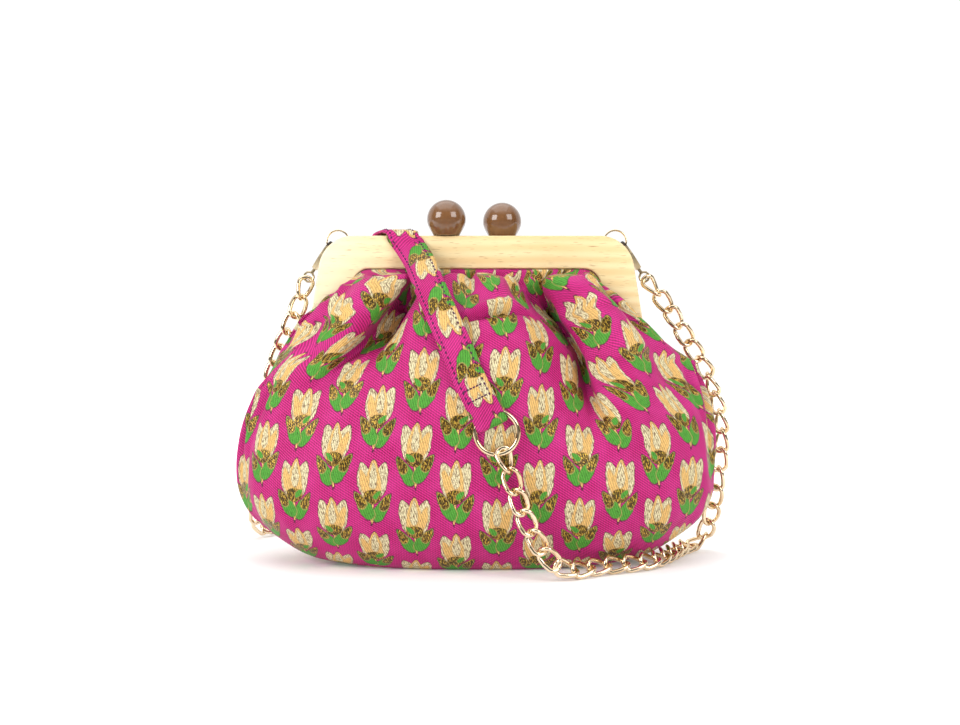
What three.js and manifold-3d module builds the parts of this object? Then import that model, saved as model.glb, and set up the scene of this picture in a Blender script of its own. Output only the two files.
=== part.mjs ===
// Fabric shoulder bag: a gathered cloth pouch on a wooden kiss-lock frame, with a cloth strap that
// lies over the frame and runs out at each end into a ring and a twisted curb chain.
//
// Units are millimetres, +Z is up, +X is the bag's right as it faces the viewer, and the front faces -Y.
// The origin is the middle of the flat base that the bag rests on.

import * as THREE from 'three';
import { mergeVertices } from 'three/addons/utils/BufferGeometryUtils.js';
import Module from 'manifold-3d';

const wasm = await Module();
wasm.setup();

// Driving dimensions
const GAP = 0.3;                 // running gap between neighbouring pieces

const FRAME_TOP = 194.6;         // height of the wooden arch above the surface
const FRAME_BAR = 19.7;          // height of the arch's top bar
const FRAME_HALF_TOP = 91;       // half the arch's width at its top
const FRAME_SPLAY = 0.16;        // how far a leg leans out for each millimetre down
const FRAME_LEG = 22;            // width of a leg
const FRAME_FOOT = 138;          // height of the legs' lower ends
const FRAME_DEPTH = 9.75;        // thickness of one half of the frame
const FRAME_CORNER = 18;         // rounding of the outer corners
const FRAME_CROTCH = 9;          // rounding of the inner corners
const FRAME_CHAMFER = 1;         // broken edges of the wood
const FRAME_PARTING = 0.25;      // half the slit between the two halves

const KNOB_RADIUS = 11.3;
const KNOB_FRONT_X = -18;
const KNOB_BACK_X = 15.6;

const EYE_X = 85.4;              // centre of a wire eye, left and right
const EYE_Z = 193;
const EYE_RADIUS = 6.8;          // to the middle of its wire
const EYE_WIRE = 0.8;            // radius of its wire
const EYE_PIN = 1;               // radius of the pin that holds it in the back arch
const EYE_PIN_DEPTH = 6;

const CLASP_LEAN = new THREE.Vector3(0.58, 0, -0.815); // the way the right clasp hangs
const CLASP_THICK = 3.2;
const CLASP_LENGTH = 20;
const CLASP_HOOK = 4.7;          // from the claw's top to the middle of the wire that it holds
const LEVER_PIVOT = new THREE.Vector2(3, -14);
const LEVER_PIN = 0.6;
const LEVER_THICK = 1.3;
const LEVER_SLOT = 2;
const LEVER_TIP = -4.9;          // height of the lever's tip below the claw's top
const GATE_TOP = -4.25;          // top of the gate, clear of the tip as it swings
const SWIVEL_DROP = 26;          // from the claw's top to the middle of the swivel eye
const SWIVEL_RADIUS = 3;
const SWIVEL_WIRE = 0.75;

const RING_RADIUS = 11.75;       // to the middle of the ring's wire
const RING_WIRE = 1.25;

const LINK_PITCH = 12.5;
const LINK_HALF_WIDTH = 3.85;    // to the middle of its wire
const LINK_WIRE = 1.15;
const LINK_BITE = 0.32;          // how far neighbouring links press into each other
const LINK_TWIST = Math.PI / 4;  // turn of each end of a link out of its middle plane
const LINK_SIDES = 10;
const LINK_ROUND = 0.77;         // below 1 the oval's ends are fuller than an ellipse's
const LINK_WIRE_SIDES = 5;
const END_LINKS = 3;             // links over which a chain rolls to meet an eye or a ring

const STRAP_WIDTH = 17.5;
const STRAP_THICK = 1.4;
const STRAP_STEPS = 2;           // sections of the strap for each row of its route
const STRAP_TAIL = 38;           // sewn-back end of the strap, from the ring's middle

const WALL = 1.6;                // the pouch's cloth
const BODY_COLUMNS = 34;         // points round the pouch
const RIM_INSET = 0.6;           // clearance from the rim to the wood
const RIM_DEPTH = 6;             // rim's distance from the middle plane
const LIP_DEPTH = 10.7;          // where the cloth comes out past the face of the wood
const FOOT_DROP = 0.8;           // how far the cloth passes below the legs' ends

// Sections of the pouch from the surface up to the shoulder.
const SECTIONS = [
  { z: 0, halfWidth: 96, halfDepth: 32, squareness: 2.3 },
  { z: 5, halfWidth: 107, halfDepth: 37.5, squareness: 2.3 },
  { z: 13, halfWidth: 119, halfDepth: 44, squareness: 2.3 },
  { z: 26, halfWidth: 136, halfDepth: 51, squareness: 2.3 },
  { z: 40, halfWidth: 143.5, halfDepth: 55, squareness: 2.3 },
  { z: 56, halfWidth: 145, halfDepth: 56, squareness: 2.3 },
  { z: 76, halfWidth: 141.5, halfDepth: 55, squareness: 2.3 },
  { z: 98, halfWidth: 135.5, halfDepth: 51.5, squareness: 2.3 },
  { z: 119, halfWidth: 126.5, halfDepth: 45, squareness: 2.3 },
];

// Stations of the gathered part between the shoulder and the lip, as shares of the way up to the lip.
const GATHER_STATIONS = [0.3, 0.55, 0.75, 0.9];

// Gathers and dents. "at" runs along the mouth from the left side seam (0) to the right one (1),
// "from" and "to" are heights above the surface, and a negative depth is a dent.
const FOLDS = [
  { side: 'front', at: 0.12, width: 0.05, depth: -4, from: 90, to: 140 },
  { side: 'front', at: 0.235, width: 0.035, depth: 4, from: 110, to: 174 },
  { side: 'front', at: 0.294, width: 0.035, depth: -9, from: 95, to: 178 },
  { side: 'front', at: 0.353, width: 0.035, depth: 3, from: 110, to: 178 },
  { side: 'front', at: 0.412, width: 0.035, depth: -5, from: 110, to: 178 },
  { side: 'front', at: 0.529, width: 0.05, depth: -3, from: 130, to: 178 },
  { side: 'front', at: 0.588, width: 0.035, depth: 3, from: 115, to: 178 },
  { side: 'front', at: 0.647, width: 0.035, depth: -10, from: 90, to: 180 },
  { side: 'front', at: 0.706, width: 0.035, depth: 4, from: 105, to: 176 },
  { side: 'front', at: 0.765, width: 0.035, depth: -8, from: 105, to: 172 },
  { side: 'front', at: 0.86, width: 0.06, depth: -5, from: 60, to: 125 },
  { side: 'back', at: 0.235, width: 0.035, depth: -7, from: 95, to: 178 },
  { side: 'back', at: 0.353, width: 0.035, depth: -7, from: 100, to: 178 },
  { side: 'back', at: 0.471, width: 0.035, depth: -6, from: 105, to: 178 },
  { side: 'back', at: 0.588, width: 0.035, depth: -7, from: 100, to: 178 },
  { side: 'back', at: 0.706, width: 0.035, depth: -6, from: 105, to: 178 },
  { side: 'back', at: 0.8, width: 0.035, depth: -6, from: 95, to: 172 },
];

// Ways that a band or a chain can face, turned about X from the front (0) over the top to the back.
const FRONT = 0;
const UP = Math.PI / 2;
const BACK = Math.PI;

const RING_FRONT = new THREE.Vector3(11.5, -60, 78.5);
const RING_BACK = new THREE.Vector3(-95, 56.5, 62);

// Route of the strap from the front ring over the frame to the back ring. Where "fold" is 1 the band
// lies square to the frame's edges, and where it is 0 square to its own travel.
const STRAP_ROUTE = [
  { x: 2.2, y: -58.5, z: 98, face: FRONT, fold: 0 },
  { x: -3.6, y: -54, z: 110, face: FRONT, fold: 0 },
  { x: -10.3, y: -48.5, z: 126, face: FRONT, fold: 0 },
  { x: -17.9, y: -39.5, z: 143, face: FRONT, fold: 0 },
  { x: -25.7, y: -29.5, z: 160.6, face: FRONT, fold: 0 },
  { x: -33.4, y: -17, z: 178, face: FRONT, fold: 0 },
  { x: -40.4, y: -11.4, z: 189, face: FRONT, fold: 0.6 },
  { x: -43.2, y: -11.4, z: 193.2, face: FRONT, fold: 1 },
  { x: -44.6, y: -10.6, z: 196.2, face: FRONT + Math.PI / 4, fold: 1 },
  { x: -46.2, y: -8.2, z: 197.6, face: UP, fold: 1 },
  { x: -50, y: 0, z: 198.2, face: UP, fold: 0.6 },
  { x: -53.8, y: 8.2, z: 197.4, face: UP, fold: 1 },
  { x: -55, y: 10.6, z: 196, face: BACK - Math.PI / 4, fold: 1 },
  { x: -55.6, y: 11.3, z: 193, face: BACK, fold: 1 },
  { x: -57, y: 11.6, z: 189, face: BACK, fold: 0.6 },
  { x: -63.5, y: 17, z: 175, face: BACK, fold: 0 },
  { x: -72, y: 32, z: 150, face: BACK, fold: 0 },
  { x: -82, y: 46, z: 118, face: BACK, fold: 0 },
  { x: -91, y: 54.5, z: 84, face: BACK, fold: 0 },
];

// Routes of the chains from the clasps to the rings.
const CHAIN_RIGHT_ROUTE = [
  { x: 116.9, y: 12, z: 154.8, face: FRONT },
  { x: 130.5, y: 13, z: 132.6, face: FRONT },
  { x: 142.5, y: 14, z: 112.8, face: FRONT },
  { x: 150.5, y: 15, z: 92.5, face: FRONT },
  { x: 154, y: 15, z: 75.3, face: FRONT },
  { x: 152.5, y: 15, z: 61.8, face: FRONT },
  { x: 150, y: 15, z: 47.9, face: FRONT },
  { x: 147.5, y: 16, z: 34.8, face: FRONT },
  { x: 146, y: 22, z: 19, face: FRONT },
  { x: 141, y: 29, z: 5, face: UP },
  { x: 128.7, y: 17, z: 3.1, face: UP },
  { x: 116, y: -6, z: 3.1, face: UP },
  { x: 103, y: -26, z: 3.1, face: UP },
  { x: 88.5, y: -36, z: 3.1, face: UP },
  { x: 74, y: -41, z: 3.1, face: UP },
  { x: 61, y: -50, z: 3.1, face: UP },
  { x: 50.5, y: -58, z: 3.2, face: UP },
  { x: 42.5, y: -61, z: 9, face: FRONT },
  { x: 35, y: -62, z: 18, face: FRONT },
  { x: 29.5, y: -62, z: 28, face: FRONT },
  { x: 25, y: -62, z: 38, face: FRONT },
  { x: 21, y: -62, z: 50, face: FRONT },
];
const CHAIN_LEFT_ROUTE = [
  { x: -108.8, y: 12, z: 157, face: FRONT },
  { x: -114, y: 13, z: 143.7, face: FRONT },
  { x: -121.5, y: 20, z: 130, face: FRONT },
  { x: -130, y: 28, z: 108, face: FRONT },
  { x: -138, y: 38, z: 85, face: FRONT },
  { x: -142, y: 47, z: 60, face: FRONT },
  { x: -146, y: 60, z: 32, face: FRONT },
  { x: -148, y: 70, z: 11, face: FRONT },
  { x: -144, y: 82, z: 3.8, face: UP },
  { x: -130, y: 103, z: 3.1, face: UP },
  { x: -106, y: 114, z: 3.1, face: UP },
  { x: -79, y: 112, z: 3.1, face: UP },
  { x: -64, y: 95, z: 3.1, face: UP },
  { x: -75, y: 76, z: 4.4, face: UP },
  { x: -85, y: 65, z: 12, face: BACK },
  { x: -89, y: 60, z: 26, face: BACK },
  { x: -92, y: 58, z: 38, face: BACK },
];

const FINISH = {
  cloth: new THREE.MeshStandardMaterial({ color: 0xc93088, roughness: 0.8, metalness: 0 }),
  wood: new THREE.MeshStandardMaterial({ color: 0xe6cf9a, roughness: 0.55, metalness: 0 }),
  resin: new THREE.MeshStandardMaterial({ color: 0x4a2a1c, roughness: 0.15, metalness: 0 }),
  gold: new THREE.MeshStandardMaterial({ color: 0xdcc08a, roughness: 0.22, metalness: 1 }),
};

const bag = new THREE.Group();

// Solids: closed meshes, joined and cut

/** Adds one named piece to the bag, in the group that it is placed by. */
function addPiece(name, geometry, finish, place = bag) {
  geometry.computeVertexNormals();
  const mesh = new THREE.Mesh(geometry, FINISH[finish]);
  mesh.name = name;
  place.add(mesh);
}

/** Gives a closed geometry as a solid that can be joined and cut. */
function toSolid(geometry) {
  const bare = geometry.clone();
  bare.deleteAttribute('normal');
  bare.deleteAttribute('uv');
  const merged = mergeVertices(bare, 1e-4);
  const vertProperties = merged.attributes.position.array;
  const triVerts = new Uint32Array(merged.index.array);
  return new wasm.Manifold(new wasm.Mesh({ numProp: 3, vertProperties, triVerts }));
}

/** Gives a solid back as a geometry. */
function toGeometry(solid) {
  const mesh = solid.getMesh();
  const geometry = new THREE.BufferGeometry();
  geometry.setAttribute('position', new THREE.BufferAttribute(mesh.vertProperties, 3));
  geometry.setIndex(new THREE.BufferAttribute(mesh.triVerts, 1));
  return geometry;
}

/** Skins a run of equal rings of points, capped at both ends or joined end to end. */
function loft(rings, endless = false) {
  const around = rings[0].length;
  const points = rings.flat();
  const faces = [];
  const bands = endless ? rings.length : rings.length - 1;
  for (let band = 0; band < bands; band++) {
    const here = band * around;
    const there = ((band + 1) % rings.length) * around;
    for (let k = 0; k < around; k++) {
      const next = (k + 1) % around;
      faces.push(here + k, here + next, there + next);
      faces.push(here + k, there + next, there + k);
    }
  }
  if (!endless) {
    const last = (rings.length - 1) * around;
    const startMiddle = points.length;
    points.push(middleOf(rings[0]), middleOf(rings.at(-1)));
    for (let k = 0; k < around; k++) {
      const next = (k + 1) % around;
      faces.push(startMiddle, next, k);
      faces.push(startMiddle + 1, last + k, last + next);
    }
  }
  const geometry = new THREE.BufferGeometry().setFromPoints(points);
  geometry.setIndex(faces);
  return geometry;
}

function middleOf(points) {
  const sum = new THREE.Vector3();
  for (const point of points) sum.add(point);
  return sum.divideScalar(points.length);
}

// Wooden frame

/** Half the arch's outer width at a height. */
function archHalfWidth(z) {
  return FRAME_HALF_TOP + FRAME_SPLAY * (FRAME_TOP - z);
}

/** Half the arch's inner width at a height. */
function archOpening(z) {
  return archHalfWidth(z) - FRAME_LEG;
}

/** The arch as it is seen from the front. */
function archOutline() {
  const barBottom = FRAME_TOP - FRAME_BAR;
  const shoulder = FRAME_TOP - FRAME_CORNER;
  const opening = archOpening(barBottom);
  const crotch = barBottom - FRAME_CROTCH;
  const outline = new THREE.Shape();
  outline.moveTo(archHalfWidth(FRAME_FOOT), FRAME_FOOT);
  outline.lineTo(archHalfWidth(shoulder), shoulder);
  outline.quadraticCurveTo(FRAME_HALF_TOP, FRAME_TOP, FRAME_HALF_TOP - FRAME_CORNER, FRAME_TOP);
  outline.lineTo(FRAME_CORNER - FRAME_HALF_TOP, FRAME_TOP);
  outline.quadraticCurveTo(-FRAME_HALF_TOP, FRAME_TOP, -archHalfWidth(shoulder), shoulder);
  outline.lineTo(-archHalfWidth(FRAME_FOOT), FRAME_FOOT);
  outline.lineTo(-archOpening(FRAME_FOOT), FRAME_FOOT);
  outline.lineTo(-archOpening(crotch), crotch);
  outline.quadraticCurveTo(-opening, barBottom, FRAME_CROTCH - opening, barBottom);
  outline.lineTo(opening - FRAME_CROTCH, barBottom);
  outline.quadraticCurveTo(opening, barBottom, archOpening(crotch), crotch);
  outline.lineTo(archOpening(FRAME_FOOT), FRAME_FOOT);
  return outline;
}

/** One half of the frame, from its rear face forwards. */
function archGeometry(rearY) {
  const geometry = new THREE.ExtrudeGeometry(archOutline(), {
    depth: FRAME_DEPTH - 2 * FRAME_CHAMFER,
    curveSegments: 4,
    bevelEnabled: true,
    bevelSegments: 1,
    bevelThickness: FRAME_CHAMFER,
    bevelSize: FRAME_CHAMFER,
    bevelOffset: -FRAME_CHAMFER,
  });
  geometry.rotateX(Math.PI / 2);
  geometry.translate(0, rearY - FRAME_CHAMFER, 0);
  return geometry;
}

/** Where the pin of a wire eye goes into the wood: the eye's point nearest the corner's middle. */
function eyePinPlace(sign) {
  const eye = new THREE.Vector2(sign * EYE_X, EYE_Z);
  const corner = new THREE.Vector2(sign * (FRAME_HALF_TOP - FRAME_CORNER), FRAME_TOP - FRAME_CORNER);
  return corner.sub(eye).setLength(EYE_RADIUS).add(eye);
}

/** A round bar along Y. */
function barAlongY(radius, fromY, toY, x, z, sides = 8) {
  const geometry = new THREE.CylinderGeometry(radius, radius, toY - fromY, sides);
  geometry.translate(x, (fromY + toY) / 2, z);
  return geometry;
}

const FRAME_BACK_FACE = FRAME_PARTING + FRAME_DEPTH;
const EYE_Y = FRAME_BACK_FACE + GAP + EYE_WIRE;

function addFrame() {
  addPiece('frame_front', archGeometry(-FRAME_PARTING), 'wood');
  let rear = toSolid(archGeometry(FRAME_BACK_FACE));
  for (const sign of [-1, 1]) {
    const pin = eyePinPlace(sign);
    const bore = barAlongY(EYE_PIN + GAP, EYE_Y - EYE_PIN_DEPTH - GAP, EYE_Y, pin.x, pin.y);
    rear = rear.subtract(toSolid(bore));
  }
  addPiece('frame_back', toGeometry(rear), 'wood');
}

/** Turned knob: a flat foot, a tapered lower half and a round top. */
function knobGeometry() {
  const profile = [
    { radius: 0, height: 0 },
    { radius: 0.62, height: 0 },
    { radius: 0.68, height: 0.08 },
    { radius: 0.88, height: 0.5 },
    { radius: 0.98, height: 0.76 },
    { radius: 1, height: 1 },
    { radius: 0.91, height: 1.36 },
    { radius: 0.7, height: 1.66 },
    { radius: 0.38, height: 1.88 },
    { radius: 0, height: 1.95 },
  ];
  const points = profile.map((row) => new THREE.Vector2(row.radius * KNOB_RADIUS, row.height * KNOB_RADIUS));
  const geometry = new THREE.LatheGeometry(points, 10);
  geometry.rotateX(Math.PI / 2);
  return geometry;
}

function addKnobs() {
  const middle = FRAME_PARTING + FRAME_DEPTH / 2;
  const places = { knob_front: [KNOB_FRONT_X, -middle], knob_back: [KNOB_BACK_X, middle] };
  for (const [name, [x, y]] of Object.entries(places)) {
    const place = new THREE.Group();
    place.position.set(x, y, FRAME_TOP + GAP);
    bag.add(place);
    addPiece(name, knobGeometry(), 'resin', place);
  }
}

// Metal fittings

/** A ring of wire in the XZ plane. */
function wireRing(radius, wire, sides, wireSides) {
  return new THREE.TorusGeometry(radius, wire, wireSides, sides).rotateX(Math.PI / 2);
}

function addEye(name, sign) {
  const ring = wireRing(EYE_RADIUS, EYE_WIRE, 12, 5).translate(sign * EYE_X, EYE_Y, EYE_Z);
  const pin = eyePinPlace(sign);
  const bar = barAlongY(EYE_PIN, EYE_Y - EYE_PIN_DEPTH, EYE_Y, pin.x, pin.y, 6);
  addPiece(name, toGeometry(toSolid(ring).add(toSolid(bar))), 'gold');
}

/** The way a clasp hangs on one side of the bag. */
function claspLean(sign) {
  return new THREE.Vector3(sign * CLASP_LEAN.x, 0, CLASP_LEAN.z).normalize();
}

/** The top of a clasp, so that its claw holds the outer low side of the wire eye. */
function claspTop(sign) {
  const held = new THREE.Vector3(sign * 0.82, 0, -0.57).normalize().multiplyScalar(EYE_RADIUS);
  held.add(new THREE.Vector3(sign * EYE_X, EYE_Y, EYE_Z));
  return held.addScaledVector(claspLean(sign), -CLASP_HOOK);
}

/** The middle of a clasp's swivel eye. */
function swivelMiddle(sign) {
  return claspTop(sign).addScaledVector(claspLean(sign), SWIVEL_DROP);
}

/** A flat plate with a given outline, its thickness centred on the outline's plane. */
function plate(outline, thickness) {
  const options = { depth: thickness, bevelEnabled: false, curveSegments: 4 };
  return new THREE.ExtrudeGeometry(outline, options).translate(0, 0, -thickness / 2);
}

/** A block given by its lowest and highest corners. */
function block(low, high) {
  const size = high.map((value, axis) => value - low[axis]);
  const geometry = new THREE.BoxGeometry(...size);
  return geometry.translate(low[0] + size[0] / 2, low[1] + size[1] / 2, low[2] + size[2] / 2);
}

/** Claw, swivel neck and swivel eye in one piece. The claw hangs down from its top at the local origin. */
function claspGeometry() {
  const outline = new THREE.Shape();
  outline.moveTo(-2, -CLASP_LENGTH);
  outline.lineTo(2, -CLASP_LENGTH);
  outline.quadraticCurveTo(6, -13, 6, -7.5);
  outline.quadraticCurveTo(6, 0, 0, 0);
  outline.quadraticCurveTo(-6, 0, -6, -7.5);
  outline.quadraticCurveTo(-6, -13, -2, -CLASP_LENGTH);
  const hollow = new THREE.Path();
  hollow.absellipse(0, -7, 3.6, 4.6, 0, Math.PI * 2, true);
  outline.holes.push(hollow);
  const gate = block([2.2, -12.2, -CLASP_THICK], [8, GATE_TOP, CLASP_THICK]);
  const slot = block([1, -16.1, -LEVER_SLOT / 2], [8, -8, LEVER_SLOT / 2]);
  const pin = new THREE.CylinderGeometry(LEVER_PIN, LEVER_PIN, CLASP_THICK - GAP, 6).rotateX(Math.PI / 2);
  pin.translate(LEVER_PIVOT.x, LEVER_PIVOT.y, 0);
  const neck = new THREE.CylinderGeometry(1, 1, 4, 6).translate(0, -CLASP_LENGTH - 1, 0);
  const swivel = new THREE.TorusGeometry(SWIVEL_RADIUS, SWIVEL_WIRE, 5, 10).rotateY(Math.PI / 2);
  swivel.translate(0, -SWIVEL_DROP, 0);
  const claw = toSolid(plate(outline, CLASP_THICK)).subtract(toSolid(gate)).subtract(toSolid(slot));
  return toGeometry(claw.add(toSolid(pin)).add(toSolid(neck)).add(toSolid(swivel)));
}

/** The lever that shuts the claw's gate, turning on the claw's pin. */
function leverGeometry() {
  const outline = new THREE.Shape();
  outline.moveTo(LEVER_PIVOT.x - 1.5, LEVER_PIVOT.y);
  outline.quadraticCurveTo(LEVER_PIVOT.x - 1.5, LEVER_PIVOT.y - 1.6, LEVER_PIVOT.x, LEVER_PIVOT.y - 1.6);
  outline.quadraticCurveTo(LEVER_PIVOT.x + 1.7, LEVER_PIVOT.y - 1.6, LEVER_PIVOT.x + 1.8, LEVER_PIVOT.y);
  outline.lineTo(5.7, -9);
  outline.lineTo(5.5, LEVER_TIP);
  outline.lineTo(3.9, LEVER_TIP);
  outline.lineTo(3.6, -10);
  const bore = new THREE.Path();
  bore.absarc(LEVER_PIVOT.x, LEVER_PIVOT.y, LEVER_PIN + GAP, 0, Math.PI * 2, true);
  outline.holes.push(bore);
  return plate(outline, LEVER_THICK);
}

function addClasp(side, sign) {
  const up = claspLean(sign).negate();
  const across = new THREE.Vector3(0, 1, 0);
  const through = new THREE.Vector3().crossVectors(across, up);
  const place = new THREE.Group();
  place.position.copy(claspTop(sign));
  place.quaternion.setFromRotationMatrix(new THREE.Matrix4().makeBasis(across, up, through));
  bag.add(place);
  addPiece(`clasp_${side}`, claspGeometry(), 'gold', place);
  addPiece(`clasp_lever_${side}`, leverGeometry(), 'gold', place);
}

// Chains

/** A direction turned about X from the front over the top to the back. */
function facing(angle) {
  return new THREE.Vector3(0, -Math.cos(angle), Math.sin(angle));
}

/** A smooth route through listed points, with the way that it faces along its length. */
class Route {
  constructor(rows) {
    this.rows = rows;
    this.curve = new THREE.CatmullRomCurve3(rows.map((row) => new THREE.Vector3(row.x, row.y, row.z)));
    this.curve.arcLengthDivisions = 1200;
    this.length = this.curve.getLength();
  }

  /** The point at a distance along the route. */
  at(distance) {
    return this.curve.getPointAt(Math.min(distance / this.length, 1));
  }

  /** The row, with a part of the way to the next, at a distance along the route. */
  rowAt(distance) {
    return this.curve.getUtoTmapping(Math.min(distance / this.length, 1)) * (this.rows.length - 1);
  }

  /** A column's value at a row, with a part of the way to the next. */
  value(column, row) {
    const low = Math.min(Math.floor(row), this.rows.length - 2);
    return THREE.MathUtils.lerp(this.rows[low][column], this.rows[low + 1][column], row - low);
  }

  /** The way that the route faces at a row, square to a direction of travel. */
  face(row, travel) {
    const out = facing(this.value('face', row));
    return out.addScaledVector(travel, -out.dot(travel)).normalize();
  }
}

/** One twisted oval link between two points, its middle turned to face a direction. */
function linkGeometry(start, end, face) {
  const middle = start.clone().lerp(end, 0.5);
  const travel = end.clone().sub(start);
  const apex = travel.length() / 2 + LINK_WIRE - LINK_BITE / 2;
  const halfLength = apex / Math.cos(Math.PI / LINK_SIDES) ** LINK_ROUND;
  travel.normalize();
  const across = new THREE.Vector3().crossVectors(travel, face);
  const rings = [];
  for (let k = 0; k < LINK_SIDES; k++) {
    const turn = ((k + 0.5) / LINK_SIDES) * Math.PI * 2;
    const spot = linkPoint(turn, halfLength, travel, across);
    const ahead = linkPoint(turn + 0.01, halfLength, travel, across);
    ahead.sub(linkPoint(turn - 0.01, halfLength, travel, across)).normalize();
    const out = linkOutward(turn, halfLength, travel, across);
    out.addScaledVector(ahead, -out.dot(ahead)).normalize();
    const beside = new THREE.Vector3().crossVectors(ahead, out);
    const ring = [];
    for (let j = 0; j < LINK_WIRE_SIDES; j++) {
      const spin = Math.PI + (j / LINK_WIRE_SIDES) * Math.PI * 2;
      const point = middle.clone().add(spot);
      point.addScaledVector(out, LINK_WIRE * Math.cos(spin));
      point.addScaledVector(beside, LINK_WIRE * Math.sin(spin));
      ring.push(point);
    }
    rings.push(ring);
  }
  return loft(rings, true);
}

/** A sine or cosine made fuller, so that an oval's ends are blunter than an ellipse's. */
function fuller(value) {
  return Math.sign(value) * Math.abs(value) ** LINK_ROUND;
}

/** The middle of a link's wire at an angle round the link. */
function linkPoint(turn, halfLength, travel, across) {
  const reach = travel.clone().multiplyScalar(halfLength * fuller(Math.cos(turn)));
  const width = across.clone().applyAxisAngle(travel, LINK_TWIST * Math.cos(turn));
  return reach.addScaledVector(width, LINK_HALF_WIDTH * fuller(Math.sin(turn)));
}

/** The outward direction of a link's oval at an angle round the link. */
function linkOutward(turn, halfLength, travel, across) {
  const reach = travel.clone().multiplyScalar(Math.cos(turn) / halfLength);
  const width = across.clone().applyAxisAngle(travel, LINK_TWIST * Math.cos(turn));
  return reach.addScaledVector(width, Math.sin(turn) / LINK_HALF_WIDTH);
}

/** A chain along a route, rolled at its ends so that the end links stand square to what they hold. */
function chainGeometry(rows) {
  const route = new Route(rows);
  const count = Math.round(route.length / LINK_PITCH);
  const pitch = route.length / count;
  const links = [];
  for (let k = 0; k < count; k++) {
    const start = route.at(k * pitch);
    const end = route.at((k + 1) * pitch);
    const travel = end.clone().sub(start).normalize();
    const face = route.face(route.rowAt((k + 0.5) * pitch), travel);
    const startRoll = Math.max(0, 1 - k / END_LINKS);
    const endRoll = Math.max(0, 1 - (count - 1 - k) / END_LINKS);
    face.applyAxisAngle(travel, LINK_TWIST * (endRoll - startRoll));
    links.push(toSolid(linkGeometry(start, end, face)));
  }
  return toGeometry(wasm.Manifold.union(links));
}

/** A route's row at a point. */
function routeRow(point, face) {
  return { x: point.x, y: point.y, z: point.z, face };
}

/** The start of a chain, whose first link hangs in a clasp's swivel eye. */
function chainStart(sign) {
  const inEye = SWIVEL_RADIUS - SWIVEL_WIRE - GAP - LINK_BITE / 2;
  return swivelMiddle(sign).addScaledVector(claspLean(sign), inEye);
}

/** The end of a chain, whose last link passes round a ring's wire. */
function chainEnd(ring, last) {
  const pull = new THREE.Vector3(last.x - ring.x, 0, last.z - ring.z).normalize();
  const reach = RING_RADIUS - RING_WIRE - 2 * GAP - LINK_BITE / 2;
  return ring.clone().addScaledVector(pull, reach);
}

function addChain(name, sign, rows, ring, face) {
  const first = routeRow(chainStart(sign), rows[0].face);
  const last = routeRow(chainEnd(ring, rows.at(-1)), face);
  addPiece(name, chainGeometry([first, ...rows, last]), 'gold');
}

function addRing(name, middle) {
  addPiece(name, wireRing(RING_RADIUS, RING_WIRE, 14, 5).translate(middle.x, middle.y, middle.z), 'gold');
}

// Strap

/** Rows that take the strap's end through a ring and back up behind itself, from its sewn tail. */
function strapLoop(ring, next, face) {
  const up = new THREE.Vector3(next.x - ring.x, 0, next.z - ring.z).normalize();
  const out = facing(face);
  const clear = RING_WIRE + 2 * GAP + STRAP_THICK / 2;
  const slope = (next.y - ring.y) / Math.hypot(next.x - ring.x, next.z - ring.z);
  const fold = STRAP_THICK + GAP;
  const bottom = Math.sqrt(RING_RADIUS ** 2 - (STRAP_WIDTH / 2) ** 2) - clear - GAP;
  const stations = [
    { reach: STRAP_TAIL, depth: -fold, lean: 1 },
    { reach: (STRAP_TAIL + RING_RADIUS) / 2, depth: -fold, lean: 1 },
    { reach: RING_RADIUS + 2 * clear, depth: -clear, lean: 0 },
    { reach: bottom + 1.4, depth: -clear, lean: 0 },
    { reach: bottom, depth: -clear * 0.6, lean: 0 },
    { reach: bottom - 0.8, depth: 0, lean: 0 },
    { reach: bottom, depth: clear * 0.6, lean: 0 },
    { reach: bottom + 1.4, depth: clear, lean: 0 },
    { reach: RING_RADIUS + 2 * RING_WIRE, depth: clear, lean: 0 },
  ];
  return stations.map((station) => {
    const point = ring.clone().addScaledVector(up, station.reach).addScaledVector(out, station.depth);
    point.y += station.lean * slope * station.reach;
    return point;
  });
}

/** A flat band through sections that each hold a point, a direction of travel and one across the band. */
function bandGeometry(sections) {
  const corners = [[-1, -1], [-1, 1], [1, 1], [1, -1]];
  const rings = sections.map(({ point, travel, wide }) => {
    const out = new THREE.Vector3().crossVectors(wide, travel).normalize();
    const half = STRAP_WIDTH / 2 / Math.sqrt(1 - wide.dot(travel) ** 2);
    return corners.map(([across, through]) => {
      const corner = point.clone().addScaledVector(wide, across * half);
      return corner.addScaledVector(out, (through * STRAP_THICK) / 2);
    });
  });
  return loft(rings);
}

/** The sections of a loop through a ring, all as wide as the band that runs on from it. */
function loopSections(points, wide) {
  return points.map((point, k) => {
    const before = points[Math.max(k - 1, 0)];
    const after = points[Math.min(k + 1, points.length - 1)];
    return { point, travel: after.clone().sub(before).normalize(), wide };
  });
}

/** The sections of the band between its loops. */
function runSections(route) {
  const edge = new THREE.Vector3(1, 0, 0);
  const steps = STRAP_STEPS * (route.rows.length - 1);
  return Array.from({ length: steps + 1 }, (_, k) => {
    const travel = route.curve.getTangent(k / steps);
    const row = k / STRAP_STEPS;
    const square = new THREE.Vector3().crossVectors(travel, route.face(row, travel));
    const wide = square.lerp(edge, route.value('fold', row)).normalize();
    return { point: route.curve.getPoint(k / steps), travel, wide };
  });
}

function addStrap() {
  const run = runSections(new Route(STRAP_ROUTE));
  const frontLoop = strapLoop(RING_FRONT, STRAP_ROUTE[0], FRONT);
  const backLoop = strapLoop(RING_BACK, STRAP_ROUTE.at(-1), BACK).reverse();
  const sections = [
    ...loopSections(frontLoop, run[0].wide),
    ...run,
    ...loopSections(backLoop, run.at(-1).wide),
  ];
  addPiece('strap', bandGeometry(sections), 'cloth');
}

// Cloth pouch

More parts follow.
